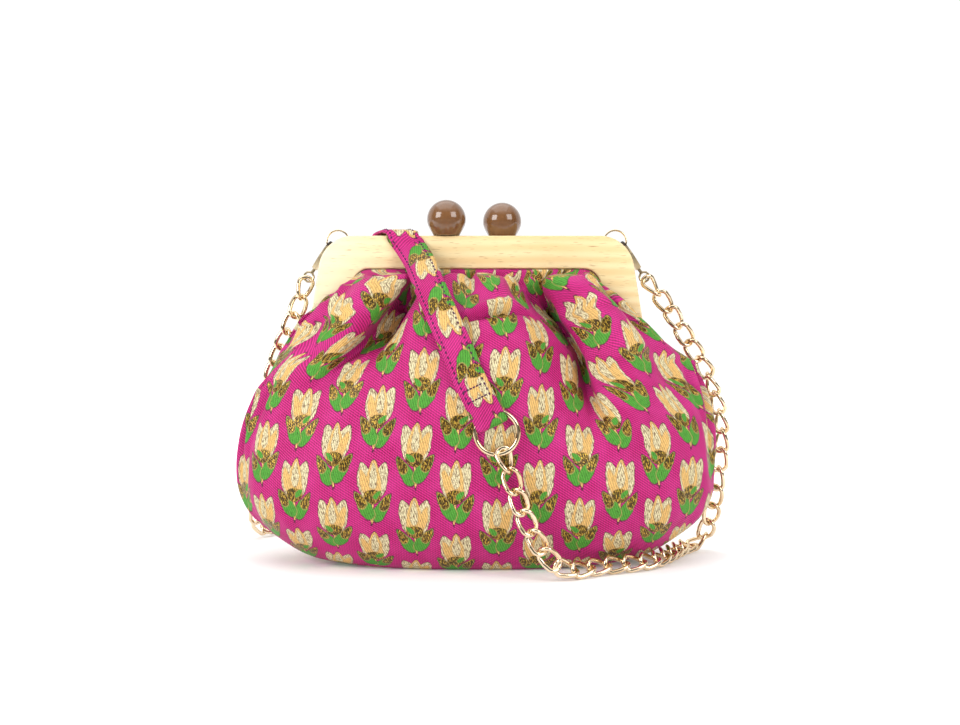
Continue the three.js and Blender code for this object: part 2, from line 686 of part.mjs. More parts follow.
/** The mouth's path along the inside of the arch, from the left leg's end to the right one's. */
function mouthPath() {
  const top = FRAME_TOP - FRAME_BAR - RIM_INSET;
  const foot = FRAME_FOOT - FOOT_DROP;
  const crotch = top - FRAME_CROTCH;
  const half = (z) => archOpening(z) - RIM_INSET;
  const path = new THREE.Path();
  path.moveTo(-half(foot), foot);
  path.lineTo(-half(crotch), crotch);
  path.quadraticCurveTo(-half(top), top, FRAME_CROTCH - half(top), top);
  path.lineTo(half(top) - FRAME_CROTCH, top);
  path.quadraticCurveTo(half(top), top, half(crotch), crotch);
  path.lineTo(half(foot), foot);
  return path;
}

const MOUTH = mouthPath();
const SEAM_SHARE = 2 / BODY_COLUMNS; // share of the mouth that passes below each leg's end

/** Where a column of the pouch stands: its angle, its front or back side and its place along the mouth. */
function columnPlace(column) {
  const turn = (column / BODY_COLUMNS) * Math.PI * 2;
  const front = turn > Math.PI;
  const share = front ? turn / Math.PI - 1 : 1 - turn / Math.PI;
  return { turn, side: front ? 'front' : 'back', sign: front ? -1 : 1, share };
}

/** A point of the mouth's edge at a distance from the middle plane. */
function mouthPoint(place, depth) {
  const along = THREE.MathUtils.clamp((place.share - SEAM_SHARE) / (1 - 2 * SEAM_SHARE), 0, 1);
  const spot = MOUTH.getPointAt(along);
  const inSeam = Math.min(1, place.share / SEAM_SHARE, (1 - place.share) / SEAM_SHARE);
  const tuck = (1 - inSeam) * (LIP_DEPTH - depth) * Math.sign(spot.x);
  return new THREE.Vector3(spot.x - tuck, place.sign * depth * inSeam, spot.y);
}

/** A point of a section of the pouch. */
function sectionPoint(place, section) {
  const bend = 2 / section.squareness;
  const cos = Math.cos(place.turn);
  const sin = Math.sin(place.turn);
  const x = section.halfWidth * Math.sign(cos) * Math.abs(cos) ** bend;
  const y = section.halfDepth * Math.sign(sin) * Math.abs(sin) ** bend;
  return new THREE.Vector3(x, y, section.z);
}

/** A point of the gathered cloth between the lip and the shoulder, puffed out over the legs. */
function gatherPoint(place, share) {
  const lip = mouthPoint(place, LIP_DEPTH);
  const shoulder = sectionPoint(place, SECTIONS.at(-1));
  const below = sectionPoint(place, SECTIONS.at(-2));
  const overLeg = THREE.MathUtils.smoothstep(Math.abs(2 * place.share - 1), 0.45, 0.75);
  const outward = Math.sign(place.share - 0.5) * overLeg;
  const toSeam = Math.min(place.share, 1 - place.share);
  const lift = THREE.MathUtils.clamp(toSeam / SEAM_SHARE - 1, 0, 1) * 0.1 - 0.2;
  const leave = new THREE.Vector3(outward, place.sign * (0.9 - 0.5 * overLeg), 0);
  leave.z = THREE.MathUtils.lerp(-0.5, lift, overLeg);
  leave.multiplyScalar(50 + 50 * overLeg);
  const arrive = below.sub(shoulder).setLength(55);
  const t = 1 - share;
  const bendIn = t * (1 - t) ** 2;
  const bendOut = t ** 2 * (t - 1);
  const point = lip.multiplyScalar((1 + 2 * t) * (1 - t) ** 2);
  point.addScaledVector(leave, bendIn).addScaledVector(shoulder, t ** 2 * (3 - 2 * t));
  return point.addScaledVector(arrive, bendOut);
}

/** How far the gathers and dents move the cloth at a place and height. */
function foldDepth(place, z) {
  let depth = 0;
  for (const fold of FOLDS) {
    if (fold.side !== place.side) continue;
    const across = (place.share - fold.at) / fold.width;
    const middle = (fold.from + fold.to) / 2;
    const down = (z - middle) / ((fold.to - fold.from) / 2);
    if (Math.abs(down) >= 1) continue;
    depth += fold.depth * Math.exp(-across * across) * (1 - down * down) ** 2;
  }
  return depth;
}

/** The outer rings of the pouch from its base up to its lip, before folds. */
function smoothRings() {
  const places = Array.from({ length: BODY_COLUMNS }, (_, column) => columnPlace(column));
  const rings = SECTIONS.map((section) => places.map((place) => sectionPoint(place, section)));
  for (const share of GATHER_STATIONS) rings.push(places.map((place) => gatherPoint(place, share)));
  rings.push(places.map((place) => mouthPoint(place, LIP_DEPTH)));
  rings.push(places.map((place) => mouthPoint(place, RIM_DEPTH)));
  return { places, rings };
}

/** The outward direction of the cloth at each point of its rings. */
function ringNormals(rings) {
  return rings.map((ring, row) => ring.map((point, column) => {
    const left = ring[(column + ring.length - 1) % ring.length];
    const right = ring[(column + 1) % ring.length];
    const below = rings[Math.max(row - 1, 0)][column];
    const above = rings[Math.min(row + 1, rings.length - 1)][column];
    const around = right.clone().sub(left);
    return around.cross(above.clone().sub(below)).normalize();
  }));
}

function addBody() {
  const { places, rings } = smoothRings();
  const normals = ringNormals(rings);
  const outer = rings.map((ring, row) => ring.map((point, column) => {
    const depth = row === 0 ? 0 : foldDepth(places[column], point.z);
    return point.clone().addScaledVector(normals[row][column], depth);
  }));
  const inward = ringNormals(outer);
  const inner = outer.map((ring, row) => ring.map((point, column) => {
    const moved = point.clone().addScaledVector(inward[row][column], -WALL);
    if (row === 0) moved.z = WALL;
    return moved;
  }));
  addPiece('bag_body', loft([...outer, ...inner.reverse()]), 'cloth');
}

addBody();
addFrame();
addKnobs();
for (const [side, sign] of [['left', -1], ['right', 1]]) {
  addEye(`eye_${side}`, sign);
  addClasp(side, sign);
}
addRing('ring_front', RING_FRONT);
addRing('ring_back', RING_BACK);
addStrap();
addChain('chain_right', 1, CHAIN_RIGHT_ROUTE, RING_FRONT, FRONT);
addChain('chain_left', -1, CHAIN_LEFT_ROUTE, RING_BACK, BACK);

export default bag;
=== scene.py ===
"""Dresses a fabric shoulder bag: gathered jacquard cloth, pine frame, resin knobs and gold chains.

Sizes are millimetres in the tables and fields, and metres in the meshes.
"""

from __future__ import annotations

import logging
import math
import random
from bisect import bisect_left, bisect_right
from dataclasses import dataclass, field
from enum import Enum
from itertools import accumulate
from typing import Any, Callable, ClassVar, Iterable, Sequence

import bmesh
import bpy
from mathutils import Matrix, Vector, noise
from mathutils.bvhtree import BVHTree

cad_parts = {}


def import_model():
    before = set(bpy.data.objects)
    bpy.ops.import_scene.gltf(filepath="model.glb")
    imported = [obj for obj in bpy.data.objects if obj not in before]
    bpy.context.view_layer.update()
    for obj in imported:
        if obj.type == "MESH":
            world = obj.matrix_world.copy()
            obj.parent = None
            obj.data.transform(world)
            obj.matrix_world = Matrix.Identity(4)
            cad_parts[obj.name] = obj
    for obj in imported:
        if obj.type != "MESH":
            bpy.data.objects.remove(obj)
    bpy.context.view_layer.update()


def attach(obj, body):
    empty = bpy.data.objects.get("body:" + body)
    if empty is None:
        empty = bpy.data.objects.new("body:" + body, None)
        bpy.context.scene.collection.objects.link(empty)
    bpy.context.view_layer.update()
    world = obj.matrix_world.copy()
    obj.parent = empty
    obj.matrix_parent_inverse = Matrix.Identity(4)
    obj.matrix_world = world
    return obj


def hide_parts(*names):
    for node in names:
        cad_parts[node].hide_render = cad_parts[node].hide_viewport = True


Triple = tuple[float, float, float]
Colour = Triple  # sRGB, each part from 0 to 255
Span = tuple[float, float]
Material = bpy.types.Material
Node = bpy.types.Node
NodeTree = bpy.types.NodeTree
Piece = bpy.types.Object
Socket = bpy.types.NodeSocket

LOG = logging.getLogger("shoulder_bag")
MM = 0.001
BAG_BODY = "bag"
CLOTH_UV = "cloth"
UV_UNIT = 100.0  # millimetres of cloth for one unit of the cloth's UV map


class Side(Enum):
    """The two panels of the pouch and the two arches of the frame."""

    FRONT = -1
    BACK = 1


class Hand(Enum):
    """The two ends of the frame, as seen from the front."""

    LEFT = -1
    RIGHT = 1


class Facing(Enum):
    """Ways that a strap or a chain faces, as a turn about X from the front over the top to the back.

    LEAN is that of a chain on the floor that leans on the pouch.
    """

    FRONT = 0.0
    FRONT_EDGE = math.pi / 4
    LEAN = 0.8
    UP = math.pi / 2
    BACK_EDGE = math.pi * 0.75
    BACK = math.pi


class Thread(Enum):
    """Colours of weft that float over the ground, as sRGB."""

    CREAM = (218, 206, 164)
    PEACH = (222, 178, 106)
    GREEN = (76, 150, 48)
    BRONZE = (126, 96, 30)
    OUTLINE = (98, 30, 60)
    SEAM = (176, 138, 84)


def srgb(colour: Colour) -> tuple[float, float, float, float]:
    """Turns an sRGB colour of 0 to 255 into a linear one with alpha."""
    shares = [part / 255 for part in colour]
    return (*(s / 12.92 if s <= 0.04045 else ((s + 0.055) / 1.055) ** 2.4 for s in shares), 1.0)


def smooth_step(value: float, low: float, high: float) -> float:
    """Rises smoothly from 0 at low to 1 at high."""
    share = min(1.0, max(0.0, (value - low) / (high - low)))
    return share * share * (3 - 2 * share)


def blend(first: float, second: float, share: float) -> float:
    """Goes straight from first to second."""
    return first + (second - first) * share


def soft_least(first: float, second: float, softness: float) -> float:
    """Gives the lesser of two values, rounded off where they meet.

    Args:
        first: One value.
        second: The other value.
        softness: Size of the rounding.

    Returns:
        The rounded lesser value.
    """
    least = min(first, second)
    if softness < 0.01:
        return least
    return least - softness * math.log1p(math.exp(-abs(first - second) / softness))


def hermite(start: Any, end: Any, leave: Any, arrive: Any, t: float) -> Any:
    """Gives a number or a vector at a share of a curve, from its ends and its slopes there."""
    curve = (2 * t**3 - 3 * t**2 + 1) * start + (t**3 - 2 * t**2 + t) * leave
    return curve + (3 * t**2 - 2 * t**3) * end + (t**3 - t**2) * arrive


# Shared sizes of the frame and of the fittings that others meet

FRAME_TOP = 194.6
FRAME_BAR = 19.7
FRAME_HALF_TOP = 91.0
FRAME_SPLAY = 0.16
FRAME_LEG = 22.0
FRAME_FOOT = 138.0
FRAME_DEPTH = 9.75
FRAME_PARTING = 0.25
FRAME_BAR_BOTTOM = FRAME_TOP - FRAME_BAR
EYE_X = 85.4
EYE_Y = 11.1
EYE_Z = 193.0
EYE_RADIUS = 6.8
SWIVEL_DROP = 21.3  # from the hold in the eye down the clasp
RING_FRONT = Vector((11.2, -60.0, 80.6))
RING_BACK = Vector((-95.0, 56.5, 62.0))
RING_RADIUS = 11.75
RING_WIRE = 1.25
RING_PLATING = 0.15
SWIVEL_RADIUS = 3.0
SWIVEL_WIRE = 0.75
CLASP_LEAN = (0.58, -0.815)
CLASP_HOLD = (0.82, -0.57)
KNOB_FRONT_X = -18.0
KNOB_BACK_X = 15.6
KNOB_Y = FRAME_PARTING + FRAME_DEPTH / 2
GAP = 0.3


def arch_half_width(z: float) -> float:
    """Half the outer width of the wooden arch at a height."""
    return FRAME_HALF_TOP + FRAME_SPLAY * (FRAME_TOP - z)


def arch_opening(z: float) -> float:
    """Half the inner width of the wooden arch at a height."""
    return arch_half_width(z) - FRAME_LEG


# Shader graphs


class Graph:
    """A node tree with short ways to add and join nodes."""

    def __init__(self, tree: NodeTree) -> None:
        """Wraps a tree."""
        self.tree = tree

    def add(self, kind: str, inputs: dict[str | int, Any] | None = None, **settings: Any) -> Any:
        """Adds a node, sets its properties and feeds its inputs.

        Args:
            kind: Node type.
            inputs: Sockets or constants for its inputs, by name or number.
            **settings: Properties of the node.

        Returns:
            The node's outputs.
        """
        node = self.tree.nodes.new(kind)
        for name, value in settings.items():
            setattr(node, name, value)
        self.feed(node, inputs or {})
        return node.outputs

    def feed(self, node: Node, inputs: dict[str | int, Any]) -> None:
        """Links inputs of a node to sockets, or sets them.

        Args:
            node: Node to feed.
            inputs: Sockets or constants, by name or number.
        """
        for key, value in inputs.items():
            if isinstance(value, Socket):
                self.tree.links.new(value, node.inputs[key])
            else:
                node.inputs[key].default_value = value

    def math(self, operation: str, *values: Any) -> Socket:
        """Works out an operation on sockets or numbers."""
        return self.add("ShaderNodeMath", dict(enumerate(values)), operation=operation)[0]

    def times(self, first: Any, second: Any) -> Socket:
        """Multiplies two values."""
        return self.math("MULTIPLY", first, second)

    def less(self, first: Any, second: Any) -> Socket:
        """Takes the second value from the first."""
        return self.math("SUBTRACT", first, second)

    def line(self, value: Any, slope: Any, start: Any) -> Socket:
        """Multiplies a value by a slope and adds a start."""
        return self.math("MULTIPLY_ADD", value, slope, start)

    def wave(self, value: Any, rate: float) -> Socket:
        """Gives the sine of a value times a rate."""
        return self.math("SINE", self.times(value, rate))

    def step(self, value: Any, low: float, high: float) -> Socket:
        """Gives a smooth mask that goes from 0 at low to 1 at high."""
        inputs = {"Value": value, "From Min": low, "From Max": high}
        return self.add("ShaderNodeMapRange", inputs, interpolation_type="SMOOTHSTEP")["Result"]

    def fade(self, value: Any, low: float, high: float) -> Socket:
        """Gives a smooth mask that goes from 1 at low to 0 at high."""
        return self.less(1.0, self.step(value, low, high))

    def mix(self, share: Any, first: Any, second: Any, mode: str = "MIX") -> Socket:
        """Mixes two colours by the share of the second."""
        settings = {"data_type": "RGBA", "blend_type": mode, "clamp_factor": True}
        return self.add("ShaderNodeMix", {0: share, 6: first, 7: second}, **settings)[2]

    def vector(self, x: Any, y: Any, z: Any) -> Socket:
        """Joins three values into a vector."""
        return self.add("ShaderNodeCombineXYZ", {0: x, 1: y, 2: z})[0]

    def parts(self, vector: Any) -> tuple[Socket, ...]:
        """Splits a vector into its three values."""
        return tuple(self.add("ShaderNodeSeparateXYZ", {0: vector}))

    def noise(self, place: Any, scale: float, detail: float = 2.0, rough: float = 0.5) -> Socket:
        """Gives a noise from 0 to 1 at a place, with cells of one unit by the scale."""
        inputs = {"Vector": place, "Scale": scale, "Detail": detail, "Roughness": rough}
        return self.add("ShaderNodeTexNoise", inputs)["Fac"]

    def stretch(self, vector: Any, scale: Triple, turn: Triple = (0, 0, 0)) -> Socket:
        """Scales a vector along each axis and turns it about each axis."""
        inputs = {"Vector": vector, "Scale": scale, "Rotation": turn}
        return self.add("ShaderNodeMapping", inputs, vector_type="POINT")[0]

    def place(self) -> Socket:
        """Gives the place on the piece, in metres."""
        return self.add("ShaderNodeTexCoord")["Object"]

    def use(self, group: NodeTree, **inputs: Any) -> Any:
        """Places a node group and gives its outputs."""
        return self.add("ShaderNodeGroup", inputs, node_tree=group)

    def relief(self, height: Any, strength: float, distance: float) -> Socket:
        """Gives a normal from a height, of which one unit is a distance in millimetres."""
        inputs = {"Strength": strength, "Distance": distance * MM, "Height": height}
        return self.add("ShaderNodeBump", inputs)[0]


class GroupBuilder(Graph):
    """A shader node group under construction, with named inputs and outputs."""

    def __init__(self, name: str, inputs: dict[str, str], outputs: dict[str, str]) -> None:
        """Makes the group's sockets.

        Args:
            name: Name of the group.
            inputs: Socket type for each input.
            outputs: Socket type for each output.
        """
        super().__init__(bpy.data.node_groups.new(name, "ShaderNodeTree"))
        for kinds, way in ((inputs, "INPUT"), (outputs, "OUTPUT")):
            for socket, kind in kinds.items():
                self.tree.interface.new_socket(socket, in_out=way, socket_type=kind)
        self.given = self.add("NodeGroupInput")
        self.result = self.tree.nodes.new("NodeGroupOutput")

    def finish(self, **results: Any) -> NodeTree:
        """Plugs the outputs and gives the finished group."""
        self.feed(self.result, results)
        return self.tree


VECTOR = "NodeSocketVector"
FLOAT = "NodeSocketFloat"
COLOUR = "NodeSocketColor"


def new_material(name: str) -> tuple[Material, Graph, Node]:
    """Makes an empty material around one Principled shader.

    Args:
        name: Name of the material.

    Returns:
        The material, its graph and its shader.
    """
    material = bpy.data.materials.new(name)
    material.use_nodes = True
    return material, Graph(material.node_tree), material.node_tree.nodes["Principled BSDF"]


# Finishes


@dataclass(frozen=True)
class Petal:
    """One leaf or petal of the sprig: an oval that narrows to one end."""

    x: float
    y: float
    tilt: float
    half_length: float
    half_width: float
    taper: float
    thread: Thread


SPRIG = (
    Petal(0.6, -11.5, 4, 5.6, 0.9, 0.0, Thread.PEACH),
    Petal(-5.6, -8.6, 36, 8.8, 3.4, 0.4, Thread.GREEN),
    Petal(-7.8, -5.6, 32, 4.8, 2.3, 0.5, Thread.BRONZE),
    Petal(5.8, -7.4, -38, 8.8, 3.6, 0.4, Thread.GREEN),
    Petal(8.0, -4.6, -36, 4.8, 2.4, 0.5, Thread.BRONZE),
    Petal(-4.3, 5.4, 19, 9.6, 4.6, 0.3, Thread.CREAM),
    Petal(4.4, 5.2, -20, 9.8, 4.8, 0.3, Thread.CREAM),
    Petal(5.2, 4.4, -20, 6.8, 2.4, 0.25, Thread.PEACH),
    Petal(-0.2, 5.2, 0, 10.6, 4.4, 0.35, Thread.PEACH),
    Petal(-0.2, 7.8, 0, 6.6, 2.3, 0.4, Thread.CREAM),
    Petal(0.2, -2.9, 0, 3.6, 5.2, -0.2, Thread.BRONZE),
    Petal(-2.8, -1.8, 50, 3.0, 1.4, 0.3, Thread.GREEN),
)


class ClothPatterns:
    """Node groups that the pouch and the strap share; lengths are millimetres of cloth."""

    REPEAT_WIDTH = 23.0
    REPEAT_HEIGHT = 42.0
    SCALE_ACROSS = 0.92
    SCALE_ALONG = 1.1
    WARP = 0.42
    WEFT = 0.34
    WAVER = 1.6
    WAVER_SCALE = 0.22
    OUTLINE = 0.3
    SEAM = 0.6
    SOFT_EDGE = 0.06
    RIB = 1.5
    RIB_SLOPE = 0.64
    RIB_WANDER = 0.6
    WANDER_SCALE = 0.35
    PICK_SHARE = 0.14
    DYE_SCALE = 0.05
    FLOAT_RIB = 1.35
    FLOAT_SLOPE = 0.35
    FLECK_STRETCH = (1.25, 0.42, 1.0)
    FLECK_TURN = (0, 0, 0.25)
    BRONZE_DARK = (76, 56, 24)
    BRONZE_GLINT = (192, 156, 58)
    BRONZE_GREEN = (58, 120, 44)
    CREAM_FLECK = (126, 102, 74)
    THREAD_SHADE = 0.6
    GLINT_SPAN = (0.5, 0.58)
    GREEN_SPAN = (0.36, 0.3)
    CREAM_SPAN = (0.45, 0.64)
    SHADE_SPAN = (0.5, 0.68)

    @classmethod
    def twill(cls) -> NodeTree:
        """Builds the diagonal ribs of the ground cloth.

        Returns:
            A group with the height of the ribs and of the figures' floats, and the dye's slow unevenness.
        """
        build = GroupBuilder("TwillRibs", {"Vector": VECTOR}, {"Rib": FLOAT, "Float": FLOAT, "Dye": FLOAT})
        place = build.given["Vector"]
        across, along, _ = build.parts(place)
        wander = build.noise(place, cls.WANDER_SCALE)
        slant = build.line(wander, cls.RIB_WANDER, build.line(across, cls.RIB_SLOPE, along))
        rib = build.line(build.wave(slant, 2 * math.pi / cls.RIB), 0.5, 0.5)
        picks = build.wave(across, 2 * math.pi / cls.RIB)
        floats = build.wave(build.line(along, cls.FLOAT_SLOPE, across), 2 * math.pi / cls.FLOAT_RIB)
        rib = build.line(picks, cls.PICK_SHARE, rib)
        dye = build.noise(place, cls.DYE_SCALE, 3)
        return build.finish(Rib=rib, Float=build.line(floats, 0.5, 0.5), Dye=dye)

    @classmethod
    def sprig(cls) -> NodeTree:
        """Builds the woven sprigs, in columns that drop by half a repeat and turn the other way.

        Returns:
            A group with the sprigs' colour, their place and the place of their metallic threads.
        """
        results = {"Color": COLOUR, "Figure": FLOAT, "Metal": FLOAT}
        build = GroupBuilder("WovenSprigs", {"Vector": VECTOR, "Ground": COLOUR}, results)
        place = build.given["Vector"]
        x, y = cls._in_repeat(build, place)
        fleck = build.noise(build.stretch(place, cls.FLECK_STRETCH, cls.FLECK_TURN), 1.0, 2, 0.75)
        places = [cls._petal(build, petal, x, y) for petal in SPRIG]
        figure: Any = 0.0
        for _, rim in places:
            figure = build.math("MAXIMUM", figure, rim)
        colour = build.mix(figure, build.given["Ground"], srgb(Thread.OUTLINE.value))
        inside: Any = 0.0
        metal: Any = 0.0
        for petal, (fill, rim) in zip(SPRIG, places):
            seam = build.times(rim, build.times(inside, cls.SEAM))
            colour = build.mix(seam, colour, srgb(Thread.SEAM.value))
            colour = build.mix(fill, colour, cls._thread(build, petal.thread, fleck))
            inside = build.math("MAXIMUM", inside, fill)
            bright = 1.0 if petal.thread is Thread.BRONZE else 0.0
            metal = build.line(fill, build.less(bright, metal), metal)
        return build.finish(Color=colour, Figure=figure, Metal=metal)

    @classmethod
    def _in_repeat(cls, build: GroupBuilder, place: Socket) -> tuple[Socket, Socket]:
        """Finds a place in its repeat, in steps of one thread.

        Args:
            build: Group under construction.
            place: Place on the cloth.

        Returns:
            Distances across and along from the middle of the repeat.
        """
        across, along, _ = build.parts(place)
        waver = build.less(build.noise(place, cls.WAVER_SCALE, 1), 0.5)
        across = build.math("SNAP", build.line(waver, cls.WAVER, across), cls.WARP)
        along = build.math("SNAP", along, cls.WEFT)
        column = build.math("FLOOR", build.math("DIVIDE", across, cls.REPEAT_WIDTH))
        odd = build.math("FLOORED_MODULO", column, 2.0)
        dropped = build.line(odd, cls.REPEAT_HEIGHT / 2, along)
        x = build.less(build.math("FLOORED_MODULO", across, cls.REPEAT_WIDTH), cls.REPEAT_WIDTH / 2)
        y = build.less(build.math("FLOORED_MODULO", dropped, cls.REPEAT_HEIGHT), cls.REPEAT_HEIGHT / 2)
        turned = build.line(odd, -2.0 / cls.SCALE_ACROSS, 1.0 / cls.SCALE_ACROSS)
        return build.times(x, turned), build.math("DIVIDE", y, cls.SCALE_ALONG)

    @classmethod
    def _petal(cls, build: GroupBuilder, petal: Petal, x: Any, y: Any) -> tuple[Socket, Socket]:
        """Finds a petal's place.

        Args:
            build: Group under construction.
            petal: Petal to draw.
            x: Distance across from the middle of the repeat.
            y: Distance along from the middle of the repeat.

        Returns:
            Masks of the filled petal, and of the petal with its outline.
        """
        cos = math.cos(math.radians(petal.tilt))
        sin = math.sin(math.radians(petal.tilt))
        dx = build.less(x, petal.x)
        dy = build.less(y, petal.y)
        wide = build.line(dx, cos, build.times(dy, sin))
        long = build.math("DIVIDE", build.line(dy, cos, build.times(dx, -sin)), petal.half_length)
        half = build.line(long, -petal.taper * petal.half_width, petal.half_width)
        wide = build.math("DIVIDE", wide, half)
        reach = build.line(wide, wide, build.times(long, long))
        rim = (1 + cls.OUTLINE / petal.half_width) ** 2
        fill, edge = (build.fade(reach, at - cls.SOFT_EDGE, at + cls.SOFT_EDGE) for at in (1.0, rim))
        return fill, edge

    @classmethod
    def _thread(cls, build: GroupBuilder, thread: Thread, fleck: Any) -> Socket:
        """Gives a thread's colour, flecked where the ground shows between its floats.

        Args:
            build: Group under construction.
            thread: Thread to colour.
            fleck: Noise of the flecks.

        Returns:
            The colour.
        """
        light = srgb(thread.value)
        if thread is Thread.BRONZE:
            lit = build.step(fleck, *cls.GLINT_SPAN)
            glint = build.mix(lit, srgb(cls.BRONZE_DARK), srgb(cls.BRONZE_GLINT))
            return build.mix(build.step(fleck, *cls.GREEN_SPAN), glint, srgb(cls.BRONZE_GREEN))
        if thread is Thread.CREAM:
            return build.mix(build.step(fleck, *cls.CREAM_SPAN), light, srgb(cls.CREAM_FLECK))
        dark = tuple(part * cls.THREAD_SHADE for part in light[:3]) + (1.0,)
        return build.mix(build.step(fleck, *cls.SHADE_SPAN), light, dark)


@dataclass(frozen=True)
class JacquardFinish:
    """Magenta twill with woven sprigs, with painted shade in the grooves between its ribs."""

    ground: Colour = (207, 26, 126)
    # Darker colour for the rib grooves: painted shade between the ribs
    valley: Colour = (118, 5, 61)
    faded: Colour = (240, 80, 176)
    faded_share: float = 0.18
    rough: float = 0.66
    metal_polish: float = -0.32
    metal: float = 0.35
    bump: float = 0.35
    rib_height: float = 0.25
    dye_span: Span = (0.3, 0.75)
    float_shade: Span = (0.4, 0.72)
    float_height: Span = (0.4, 0.6)
    sheen: float = 0.05
    sheen_rough: float = 0.4
    specular: float = 0.3

    def make(self, name: str, twill_group: NodeTree, sprig_group: NodeTree) -> Material:
        """Builds the material on the piece's cloth UV map.

        Args:
            name: Name of the material.
            twill_group: Ribs of the ground.
            sprig_group: Woven sprigs.

        Returns:
            The material.
        """
        material, graph, shader = new_material(name)
        cloth = graph.stretch(graph.add("ShaderNodeUVMap", uv_map=CLOTH_UV)[0], (UV_UNIT,) * 3)
        twill = graph.use(twill_group, Vector=cloth)
        # Painted shade: the rib height mixes the darker groove colour into the ground
        ground = graph.mix(twill["Rib"], srgb(self.valley), srgb(self.ground))
        dye = graph.times(graph.step(twill["Dye"], *self.dye_span), self.faded_share)
        sprig = graph.use(sprig_group, Vector=cloth, Ground=graph.mix(dye, ground, srgb(self.faded)))
        shade = graph.line(twill["Float"], *self.float_shade)
        shaded = graph.mix(1.0, sprig["Color"], graph.vector(shade, shade, shade), "MULTIPLY")
        height = graph.line(sprig["Figure"], graph.line(twill["Float"], *self.float_height), twill["Rib"])
        graph.feed(shader, {
            "Base Color": graph.mix(sprig["Figure"], sprig["Color"], shaded),
            "Roughness": graph.line(sprig["Metal"], self.metal_polish, self.rough),
            "Metallic": graph.times(sprig["Metal"], self.metal),
            "Normal": graph.relief(height, self.bump, self.rib_height),
            "Sheen Weight": self.sheen,
            "Sheen Roughness": self.sheen_rough,
            "Specular IOR Level": self.specular,
        })
        return material


@dataclass(frozen=True)
class PineFinish:
    """Pale pine with fine brown flecks along its grain, under a clear satin varnish, and painted light on
    its left end.
    """

    light: Colour = (236, 217, 170)
    warm: Colour = (226, 196, 141)
    # Colour of the painted light that whitens the frame's left end
    pale: Colour = (242, 234, 198)
    fleck: Colour = (150, 104, 60)
    rough: float = 0.42
    ring_rate: float = 900.0
    ring_bend: float = 0.006
    band_share: float = 0.3
    slow_share: float = 0.75
    tone_span: Span = (0.2, 0.8)
    lit_left_end: Span = (-0.09, -0.03)
    lit_left_share: float = 0.6
    streak_span: Span = (0.635, 0.73)
    streak_share: float = 0.8
    streak_rough: float = 0.12
    bump: float = 0.12
    grain_height: float = 0.15
    coat: float = 0.15
    coat_rough: float = 0.3
    bend_stretch: Triple = (9, 30, 30)
    slow_stretch: Triple = (14, 60, 90)
    fleck_stretch: Triple = (110, 500, 2200)

    def make(self, name: str) -> Material:
        """Builds the material, with its grain along X.

        Args:
            name: Name of the material.

        Returns:
            The material.
        """
        material, graph, shader = new_material(name)
        place = graph.place()
        x, y, z = graph.parts(place)
        level = graph.line(graph.noise(graph.stretch(place, self.bend_stretch), 1.0), self.ring_bend, z)
        band = graph.line(graph.wave(level, self.ring_rate), 0.5, 0.5)
        slow = graph.noise(graph.stretch(place, self.slow_stretch), 1.0, 3)
        tone = graph.line(band, self.band_share, graph.times(slow, self.slow_share))
        colour = graph.mix(graph.step(tone, *self.tone_span), srgb(self.light), srgb(self.warm))
        # Painted light: the frame turns paler towards its left end
        pale = graph.times(graph.fade(x, *self.lit_left_end), self.lit_left_share)
        colour = graph.mix(pale, colour, srgb(self.pale))
        dash = graph.noise(graph.stretch(graph.vector(x, y, level), self.fleck_stretch), 1.0, 1)
        streak = graph.step(dash, *self.streak_span)
        graph.feed(shader, {
            "Base Color": graph.mix(graph.times(streak, self.streak_share), colour, srgb(self.fleck)),
            "Roughness": graph.line(streak, self.streak_rough, self.rough),
            "Normal": graph.relief(graph.less(band, streak), self.bump, self.grain_height),
            "Coat Weight": self.coat,
            "Coat Roughness": self.coat_rough,
        })
        return material


MARK_SCALE = 160.0
MARK_SPAN = (0.35, 0.8)
GRAIN_SCALE = 1400.0


def handling_marks() -> NodeTree:
    """Builds small handling marks for hard, shiny pieces.

    Returns:
        A group with a roughness to add and a height.
    """
    results = {"Rough": FLOAT, "Height": FLOAT}
    build = GroupBuilder("HandlingMarks", {"Vector": VECTOR, "Amount": FLOAT}, results)
    place = build.given["Vector"]
    amount = build.given["Amount"]
    cloud = build.step(build.noise(place, MARK_SCALE, 3), *MARK_SPAN)
    grain = build.noise(place, GRAIN_SCALE)
    return build.finish(Rough=build.times(cloud, amount), Height=build.times(grain, amount))


